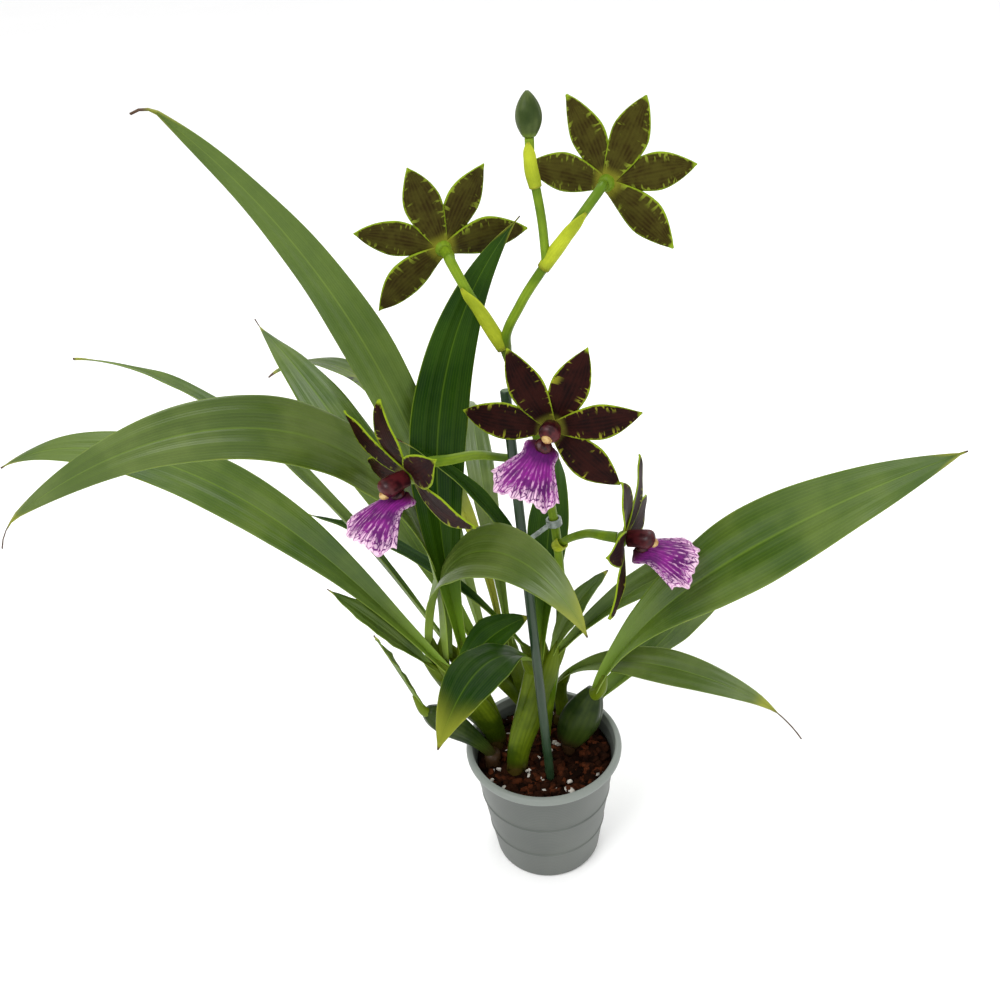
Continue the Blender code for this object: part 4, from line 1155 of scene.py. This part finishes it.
def tepal_width(share):
    """Width of a flower segment at a share of its length, as a share of its greatest width."""
    if share < TEPAL_WIDEST:
        return 0.38 + 0.62 * math.sin(math.pi / 2 * share / TEPAL_WIDEST) ** 1.3
    return max(1 - ((share - TEPAL_WIDEST) / (1 - TEPAL_WIDEST)) ** 1.7, 0)


def add_tepal(skin, angle, length, width, curl, level, draw):
    """One sepal or petal: hollowed a little, waved at its edges, with its tip curled."""
    spin = Matrix.Rotation(math.radians(-angle), 3, "Z")
    phase = draw.uniform(0, 6)
    curl += draw.uniform(-6, 8)
    grid = []
    normals = []
    ages = []
    steps = 30
    columns = 14
    height = level
    reach = TEPAL_ROOT
    for step in range(steps + 1):
        share = step / steps
        tip_bend = TEPAL_TIP_BEND * max(share - 0.86, 0) / 0.14
        tilt = math.radians(TEPAL_TILT - curl * share - tip_bend)
        half = max(width / 2 * tepal_width(share), TEPAL_LEAST_HALF_WIDTH)
        row = []
        line = []
        for column in range(columns + 1):
            across = 2 * column / columns - 1
            cup = TEPAL_CUP * across * across * math.sin(math.pi * min(share + 0.15, 1))
            wave = TEPAL_WAVE * math.sin(TEPAL_WAVE_RATE * share + phase + across)
            wave *= across * across * share
            keel = -TEPAL_KEEL * math.exp(-(across / 0.12) ** 2) * (1 - share)
            row.append(spin @ Vector((across * half, reach, height + cup + wave + keel)))
            line.append(spin @ Vector((0, -math.sin(tilt), math.cos(tilt))))
            ages.append((0.0, 0.0))
        grid.append(row)
        normals.append(line)
        reach += length / steps * math.cos(tilt)
        height += length / steps * math.sin(tilt)
    grid = [list(reversed(row)) for row in grid]
    add_sheet(skin, grid, normals, TEPAL_THICKNESS, ages, 0, 1)


def lip_point(reach, angle, droop):
    """A point of the lip's upper face at a distance from its claw and an angle off its middle."""
    share = reach / LIP_LENGTH
    bow = LIP_BOW * reach * (angle / math.radians(LIP_HALF_ANGLE)) ** 2
    edge = max(share - 0.45, 0) / 0.55
    ruffle = LIP_RUFFLE * edge * math.sin(9 * angle + 0.6)
    ruffle += LIP_FRILL * edge ** 2 * math.sin(27 * angle + 1.1)
    pucker = LIP_PUCKER * math.cos(40 * angle) * min(share * 2, 1)
    droop = math.radians(droop + LIP_BEND * share)
    forward = reach * math.cos(angle) * math.cos(droop)
    down = reach * math.cos(angle) * math.sin(droop)
    lift = ruffle + pucker - bow
    return Vector((reach * math.sin(angle), -LIP_DROP - down + lift * math.cos(droop),
                   LIP_START + forward + lift * math.sin(droop)))


def build_lip(bloom):
    """The fan-shaped lip: small side lobes by the column, a ruffled and notched front edge."""
    grid = []
    normals = []
    ages = []
    rows = 40
    columns = 72
    nudge = 0.2 * MM
    for row in range(rows + 1):
        points = []
        line = []
        for column in range(columns + 1):
            across = 2 * column / columns - 1
            edge = 1 - 0.13 * across ** 4 - 0.05 * math.exp(-(across / 0.16) ** 2)
            edge += 0.03 * math.cos(11 * across) + 0.012 * math.cos(31 * across)
            reach = (LIP_CLAW + (LIP_LENGTH / MM * edge - LIP_CLAW) * row / rows) * MM
            lobe = SIDE_LOBE_ANGLE * math.exp(-((reach / MM - SIDE_LOBE_PLACE) / SIDE_LOBE_SPREAD) ** 2)
            angle = across * math.radians(LIP_HALF_ANGLE + lobe)
            point = lip_point(reach, angle, bloom.droop)
            ahead = lip_point(reach + nudge, angle, bloom.droop) - point
            beside = lip_point(reach, angle + 0.02, bloom.droop) - point
            points.append(point)
            line.append(ahead.cross(beside).normalized() * -1)
            ages.append((0.0, 0.0))
        grid.append(points)
        normals.append(line)
    skin = Skin()
    add_sheet(skin, grid, normals, LIP_THICKNESS, ages, 1, 0)
    crest = []
    girth = []
    for step in range(15):
        t = step / 14
        spot = lip_point((CREST_START + CREST_LENGTH * t) * MM, 0, bloom.droop)
        crest.append(spot + Vector((0, (1.5 - 1.0 * t) * MM, 0)))
        girth.append(CREST_RADIUS * math.sin(math.pi * (0.16 + 0.74 * t)) ** 0.7)
    add_tube(skin, crest, girth, 40, 0.55, None, 2, lambda angle: 1 + 0.05 * math.cos(13 * angle))
    skin.piece(bloom.name + "_lip_fan", [LIP_FRONT, LIP_BACK, CREST], "lip_violet",
               (bloom.name + "_lip",), bloom_frame(bloom))


def build_tepals(bloom):
    """The three sepals and two petals on their receptacle."""
    draw = random.Random(bloom.name)
    skin = Skin()
    add_tube(skin, [Vector((0, 0, z * MM)) for z in (-3, -2.2, -1, 0.2, 0.9)],
             [RECEPTACLE_RADIUS * share for share in (0.6, 0.72, 0.85, 0.9, 0.8)], 24, 1.0, None, 2)
    for index, angle in enumerate(TEPAL_ANGLES):
        if abs(angle) == PETAL_ANGLE:
            width, curl, level = TEPAL_WIDTH, PETAL_CURL, PETAL_LEVEL
        else:
            width, curl = TEPAL_WIDTH * SEPAL_WIDENING, SEPAL_CURL
            level = SEPAL_LEVEL - SEPAL_SPACING * index
        add_tepal(skin, angle + index, TEPAL_LENGTH, width, curl, level, draw)
    skin.piece(bloom.name + "_petals_and_sepals", [TEPAL_FRONT, TEPAL_BACK, SPIKE], "tepal_maroon",
               (bloom.name + "_tepals",), bloom_frame(bloom))


def build_column(bloom):
    """The column above the lip: a stout arched stem with a hood over its cream anther cap."""
    profile = ((0, 1.0), (0.3, 1.04), (0.6, 1.1), (0.85, 1.12), (1.0, 0.86), (1.08, 0.4))
    anchors = []
    for share, radius in profile:
        arch = COLUMN_ARCH * math.sin(math.pi * 0.6 * share)
        height = COLUMN_FOOT + COLUMN_LENGTH * share
        anchors.append(Vector((radius * COLUMN_RADIUS, arch + COLUMN_LIFT, height)))
    smooth = smooth_path(anchors, 6)
    path = [Vector((0, spot.y, spot.z)) for spot in smooth]
    radii = [max(spot.x, 0.3 * MM) for spot in smooth]
    skin = Skin()
    add_tube(skin, path, radii, 32, 0.9, None, 0, lambda angle: 1 + 0.02 * math.cos(2 * angle))
    crown = path[24]
    cap = []
    girth = []
    for step in range(13):
        t = step / 12
        cap.append(crown + Vector((0, -2.0 * MM, (-2.2 + CAP_LENGTH * t) * MM)))
        girth.append(CAP_RADIUS * math.sin(math.pi * (0.06 + 0.88 * t)) ** 0.6)
    add_tube(skin, cap, girth, 24, 0.8, None, 1)
    skin.piece(bloom.name + "_column_and_cap", [COLUMN, CAP], "column_maroon",
               (bloom.name + "_column",), bloom_frame(bloom))


# Pot, bark, stake and clip

def pot_radius(height):
    """Outer radius of the pot's wall at a height."""
    return POT_BASE_RADIUS + (POT_RIM_RADIUS - POT_RIM_BEAD - POT_BASE_RADIUS) * height / POT_HEIGHT


def lathe_skin(profile, sides):
    """Spin an open profile of (radius, height) pairs whose two ends lie on the Z axis."""
    points = [Vector((0, 0, profile[0][1]))]
    for radius, height in profile[1:-1]:
        for angle in angles_round(sides):
            points.append(Vector((radius * math.cos(angle), radius * math.sin(angle), height)))
    points.append(Vector((0, 0, profile[-1][1])))
    faces = ring_faces(len(profile) - 2, sides, 1)
    top = len(points) - 1
    for side in range(sides):
        following = (side + 1) % sides
        faces.append((0, 1 + following, 1 + side))
        faces.append((top, top - sides + side, top - sides + following))
    skin = Skin()
    skin.add_plain(points, faces)
    return skin


def build_pot():
    """The pot: a turned shell with a rolled rim, two rings and drain holes in its floor."""
    profile = [(0, 0.6 * MM), (POT_BASE_RADIUS - 5 * MM, 0.6 * MM), (POT_BASE_RADIUS - 4.4 * MM, 0),
               (POT_BASE_RADIUS - 1.5 * MM, 0), (pot_radius(0.6 * MM) - 0.4 * MM, 0.4 * MM),
               (pot_radius(1.5 * MM), 1.5 * MM)]
    for height in POT_RING_HEIGHTS:
        for wall_rise, depth_share, rise in RING_STEPS:
            radius = pot_radius(height + wall_rise * MM) + depth_share * POT_RING_DEPTH
            profile.append((radius, height + rise * MM))
    under_bead = POT_HEIGHT - 2 * POT_RIM_BEAD
    profile.append((pot_radius(under_bead - 1.4 * MM), under_bead - 1.4 * MM))
    profile.append((pot_radius(under_bead) + 0.8 * POT_RING_DEPTH, under_bead))
    for degrees in range(-70, 121, 12):
        angle = math.radians(degrees)
        profile.append((POT_RIM_RADIUS - POT_RIM_BEAD + POT_RIM_BEAD * math.cos(angle),
                        POT_HEIGHT - POT_RIM_BEAD + POT_RIM_BEAD * math.sin(angle)))
    inner_top = POT_HEIGHT - 1.5 * MM
    profile.append((pot_radius(inner_top) - POT_WALL, inner_top))
    profile.append((pot_radius(POT_FLOOR) - POT_WALL, POT_FLOOR + 0.5 * MM))
    profile.append((pot_radius(POT_FLOOR) - POT_WALL - 0.8 * MM, POT_FLOOR))
    profile.append((0, POT_FLOOR))
    shell = lathe_skin(profile, POT_SIDES).piece("pot_shell", [POT], "pot_plastic", ("pot",))
    drains = Skin()
    for hole in range(DRAIN_HOLES):
        angle = 2 * math.pi * (hole + 0.5) / DRAIN_HOLES
        x = DRAIN_HOLE_CIRCLE * math.cos(angle)
        y = DRAIN_HOLE_CIRCLE * math.sin(angle)
        ends = [Vector((x, y, -POT_FLOOR)), Vector((x, y, 2 * POT_FLOOR))]
        add_tube(drains, ends, [DRAIN_HOLE_RADIUS] * 2, 32)
    mesh = bpy.data.meshes.new("drain_cutters")
    mesh.from_pydata(drains.points, [], drains.faces)
    cutter = bpy.data.objects.new("drain_cutters", mesh)
    bpy.context.scene.collection.objects.link(cutter)
    cut = shell.modifiers.new("drain_holes", "BOOLEAN")
    cut.operation = "DIFFERENCE"
    cut.solver = "EXACT"
    cut.object = cutter
    bpy.context.view_layer.update()
    result = shell.evaluated_get(bpy.context.evaluated_depsgraph_get())
    pierced = bpy.data.meshes.new_from_object(result)
    shell.modifiers.clear()
    shell.data = pierced
    pierced.shade_smooth()
    pierced.set_sharp_from_angle(angle=math.radians(40))
    bpy.data.objects.remove(cutter, do_unlink=True)


def add_lump(skin, draw, place, size, turn, finish):
    """A small irregular block with its corners pushed about, such as a bark chip."""
    divisions = 3
    points = []
    faces = []
    index = {}

    def corner(x, y, z):
        key = (x, y, z)
        if key not in index:
            spot = Vector((2 * x / divisions - 1, 2 * y / divisions - 1, 2 * z / divisions - 1))
            rounded = spot.lerp(spot.normalized() * 1.15, 0.55)
            rounded += Vector([draw.uniform(-0.12, 0.12) for _ in range(3)])
            index[key] = len(points)
            points.append(place + turn @ Vector([a * b / 2 for a, b in zip(rounded, size)]))
        return index[key]

    for i in range(divisions):
        for j in range(divisions):
            for low in (True, False):
                k = 0 if low else divisions
                sides = (
                    ((i, j, k), (i + 1, j, k), (i + 1, j + 1, k), (i, j + 1, k)),
                    ((k, i, j), (k, i + 1, j), (k, i + 1, j + 1), (k, i, j + 1)),
                    ((j, k, i), (j, k, i + 1), (j + 1, k, i + 1), (j + 1, k, i)),
                )
                for face in sides:
                    loop = [corner(*spot) for spot in face]
                    if low:
                        loop.reverse()
                    faces.append(tuple(loop))
    skin.add_plain(points, faces, finish)


def build_medium():
    """The potting bark: a filled body under the heap, loose bark chips and perlite granules."""
    draw = random.Random(11)
    bottom = POT_FLOOR + 0.4 * MM
    inside = pot_radius(SOIL_TOP) - POT_WALL - SOIL_CLEARANCE
    level = SOIL_TOP - SURFACE_DEPTH
    profile = [(0, bottom), (pot_radius(bottom) - POT_WALL - SOIL_CLEARANCE, bottom),
               (inside, SOIL_TOP - 2 * MM)]
    for ring in range(1, 14):
        profile.append((inside * (1 - ring / 14), level))
    profile.append((0, level))
    body = lathe_skin(profile, 48)
    surface = level - 0.3 * MM
    uneven = SURFACE_UNEVENNESS
    body.points = [(x, y, z + (draw.uniform(-uneven, uneven) * MM if z > surface else 0))
                   for x, y, z in body.points]
    feet = [(growth.foot, FOOT_RADIUS) for growth in GROWTHS]
    feet += [(bulb.foot, BULB_FOOT_RADIUS) for bulb in BULBS]
    feet += [(STAKE_FOOT, STAKE_RADIUS), (Vector(SPIKE_PATH[0]) * MM, SPIKE_RADIUS)]
    chip, granule, dark_chip = range(3)
    heap = Skin()
    kinds = ((chip, CHIP_COUNT, CHIP_SIZES), (granule, GRANULE_COUNT, GRANULE_SIZES))
    for kind, count, sizes in kinds:
        made = 0
        while made < count:
            angle = draw.uniform(0, 2 * math.pi)
            reach = (inside - 3 * MM) * math.sqrt(draw.random())
            place = Vector((reach * math.cos(angle), reach * math.sin(angle), 0))
            size = [draw.uniform(least, most) * MM for least, most in sizes]
            if min((place.xy - foot.xy).length - girth for foot, girth in feet) < 0.35 * max(size):
                continue
            place.z = SOIL_TOP + draw.uniform(-2.0, 0.6) * MM + (0.2 * MM if kind == granule else 0)
            turn = Matrix.Rotation(draw.uniform(0, math.pi), 3, "Z")
            for axis, most in CHIP_TILTS:
                turn = turn @ Matrix.Rotation(draw.uniform(-most, most), 3, axis)
            if max(size) / 2 + reach > inside - 0.5 * MM:
                continue
            finish = granule if kind == granule else draw.choice((chip, dark_chip))
            add_lump(heap, draw, place, size, turn, finish)
            made += 1
    body.piece("bark_body", [BARK], "bark_mix", ("growing_medium",))
    heap.piece("bark_chips_and_perlite", [CHIP, PERLITE, BARK], "bark_mix", ("growing_medium",))


def build_stake():
    """The round stake, with a lighter cut top."""
    along = (STAKE_TOP - STAKE_FOOT).normalized()
    path = [STAKE_FOOT.lerp(STAKE_TOP, step / 30) for step in range(30)]
    path += [STAKE_TOP - along * 0.5 * MM, STAKE_TOP]
    radii = [STAKE_RADIUS] * 31 + [STAKE_RADIUS * 0.86]
    skin = Skin()
    add_tube(skin, path, radii, 32)
    skin.finish[-1] = 1
    skin.piece("stake_rod", [STAKE, STAKE_CUT], "stake_green", ("stake",))


def add_ring(skin, centre, along, inner, outer, height):
    """A round collar with softened edges."""
    side = along.orthogonal().normalized()
    other = along.cross(side)
    soft = 0.3 * MM
    profile = ((inner, -height), (outer - soft, -height), (outer, soft - height),
               (outer, height - soft), (outer - soft, height), (inner, height))
    sides = 40
    points = []
    for radius, level in profile:
        for angle in angles_round(sides):
            outward = math.cos(angle) * side + math.sin(angle) * other
            points.append(centre + along * level + radius * outward)
    skin.add_plain(points, ring_faces(len(profile), sides, closed=True))


def build_clip():
    """The clip that holds the spike to the stake: a ring round each, joined by a web."""
    curve = smooth_path([Vector(point) * MM for point in SPIKE_PATH], 4)
    stake_point = STAKE_FOOT.lerp(STAKE_TOP, CLIP_SHARE)
    stem_point = min(curve, key=lambda point: abs(point.z - stake_point.z))
    stake_along = (STAKE_TOP - STAKE_FOOT).normalized()
    index = curve.index(stem_point)
    stem_along = (curve[index + 1] - curve[index - 1]).normalized()
    skin = Skin()
    held = ((stake_point, stake_along, STAKE_RADIUS), (stem_point, stem_along, SPIKE_RADIUS))
    for centre, along, radius in held:
        inner = radius + CLIP_PLAY
        add_ring(skin, centre, along, inner, inner + CLIP_WALL, CLIP_HEIGHT / 2)
    across = (stem_point - stake_point).normalized()
    start = stake_point + across * (STAKE_RADIUS + CLIP_PLAY + 0.4 * MM)
    end = stem_point - across * (SPIKE_RADIUS + CLIP_PLAY + 0.4 * MM)
    web = [start.lerp(end, step / 6) for step in range(7)]
    add_tube(skin, web, [CLIP_HEIGHT / 2 * 0.8] * 7, 20, 0.5, None, 0, None, Vector((0, 0, 1)))
    thing = skin.piece("clip_body", [CLIP], "clip_plastic", ("plant_clip",))
    thing.data.set_sharp_from_angle(angle=math.radians(40))


# Camera, floor and light

def build_camera():
    """The camera in front of the plant and above it, tilted as in the photo."""
    pitch = math.radians(CAMERA_PITCH)
    forward = Vector((0, math.cos(pitch), -math.sin(pitch)))
    level = Vector((1, 0, 0))
    upright = level.cross(forward)
    roll = math.radians(CAMERA_ROLL)
    right = level * math.cos(roll) - upright * math.sin(roll)
    up = upright * math.cos(roll) + level * math.sin(roll)
    turn = Matrix((right, up, -forward)).transposed().to_4x4()
    data = bpy.data.cameras.new("camera")
    data.lens = CAMERA_LENS
    data.sensor_width = CAMERA_SENSOR
    data.clip_end = 100
    camera = bpy.data.objects.new("camera", data)
    camera.matrix_world = Matrix.Translation(CAMERA_PLACE) @ turn
    bpy.context.scene.collection.objects.link(camera)
    bpy.context.scene.camera = camera


def build_floor():
    """A wide, plain, nearly white floor just under the pot."""
    mesh = bpy.data.meshes.new("floor")
    half = FLOOR_SIZE / 2
    corners = [(-half, -half, 0), (half, -half, 0), (half, half, 0), (-half, half, 0)]
    mesh.from_pydata(corners, [], [(0, 1, 2, 3)])
    base = new_material("floor_white", 0.9, 0.1)
    tone = mottle(base.tree, base.place, FLOOR_COLOURS, 2.0, 50.0, 0.005)
    base.tree.links.new(tone["Colour"], base.shader.inputs["Base Color"])
    mesh.materials.append(base.material)
    floor = bpy.data.objects.new("floor", mesh)
    bpy.context.scene.collection.objects.link(floor)
    floor.location.z = -FLOOR_GAP


def add_soft_light(name, place, size, power):
    """A square area light that faces the plant."""
    data = bpy.data.lights.new(name, "AREA")
    data.shape = "SQUARE"
    data.size = size
    data.energy = power
    light = bpy.data.objects.new(name, data)
    light.location = place
    light.rotation_euler = (LIGHT_TARGET - Vector(place)).to_track_quat("-Z", "Y").to_euler()
    bpy.context.scene.collection.objects.link(light)


def build_light():
    """An even white room with three soft lights."""
    bpy.context.scene.view_settings.view_transform = "Standard"
    world = bpy.data.worlds.new("soft_room")
    world.use_nodes = True
    sky = world.node_tree.nodes["Background"]
    sky.inputs["Color"].default_value = (1.0, 1.0, 1.0, 1.0)
    sky.inputs["Strength"].default_value = 1.0
    bpy.context.scene.world = world
    for name, place, size, power in SOFT_LIGHTS:
        add_soft_light(name, place, size, power)


build_camera()
build_floor()
build_light()
build_pot()
build_medium()
build_stake()
build_clip()
for shoot in GROWTHS:
    build_growth(shoot)
for storage_stem in BULBS:
    build_pseudobulb(storage_stem)
build_spike()
build_bud()
for flower in BLOOMS:
    build_tepals(flower)
    build_lip(flower)
    build_column(flower)
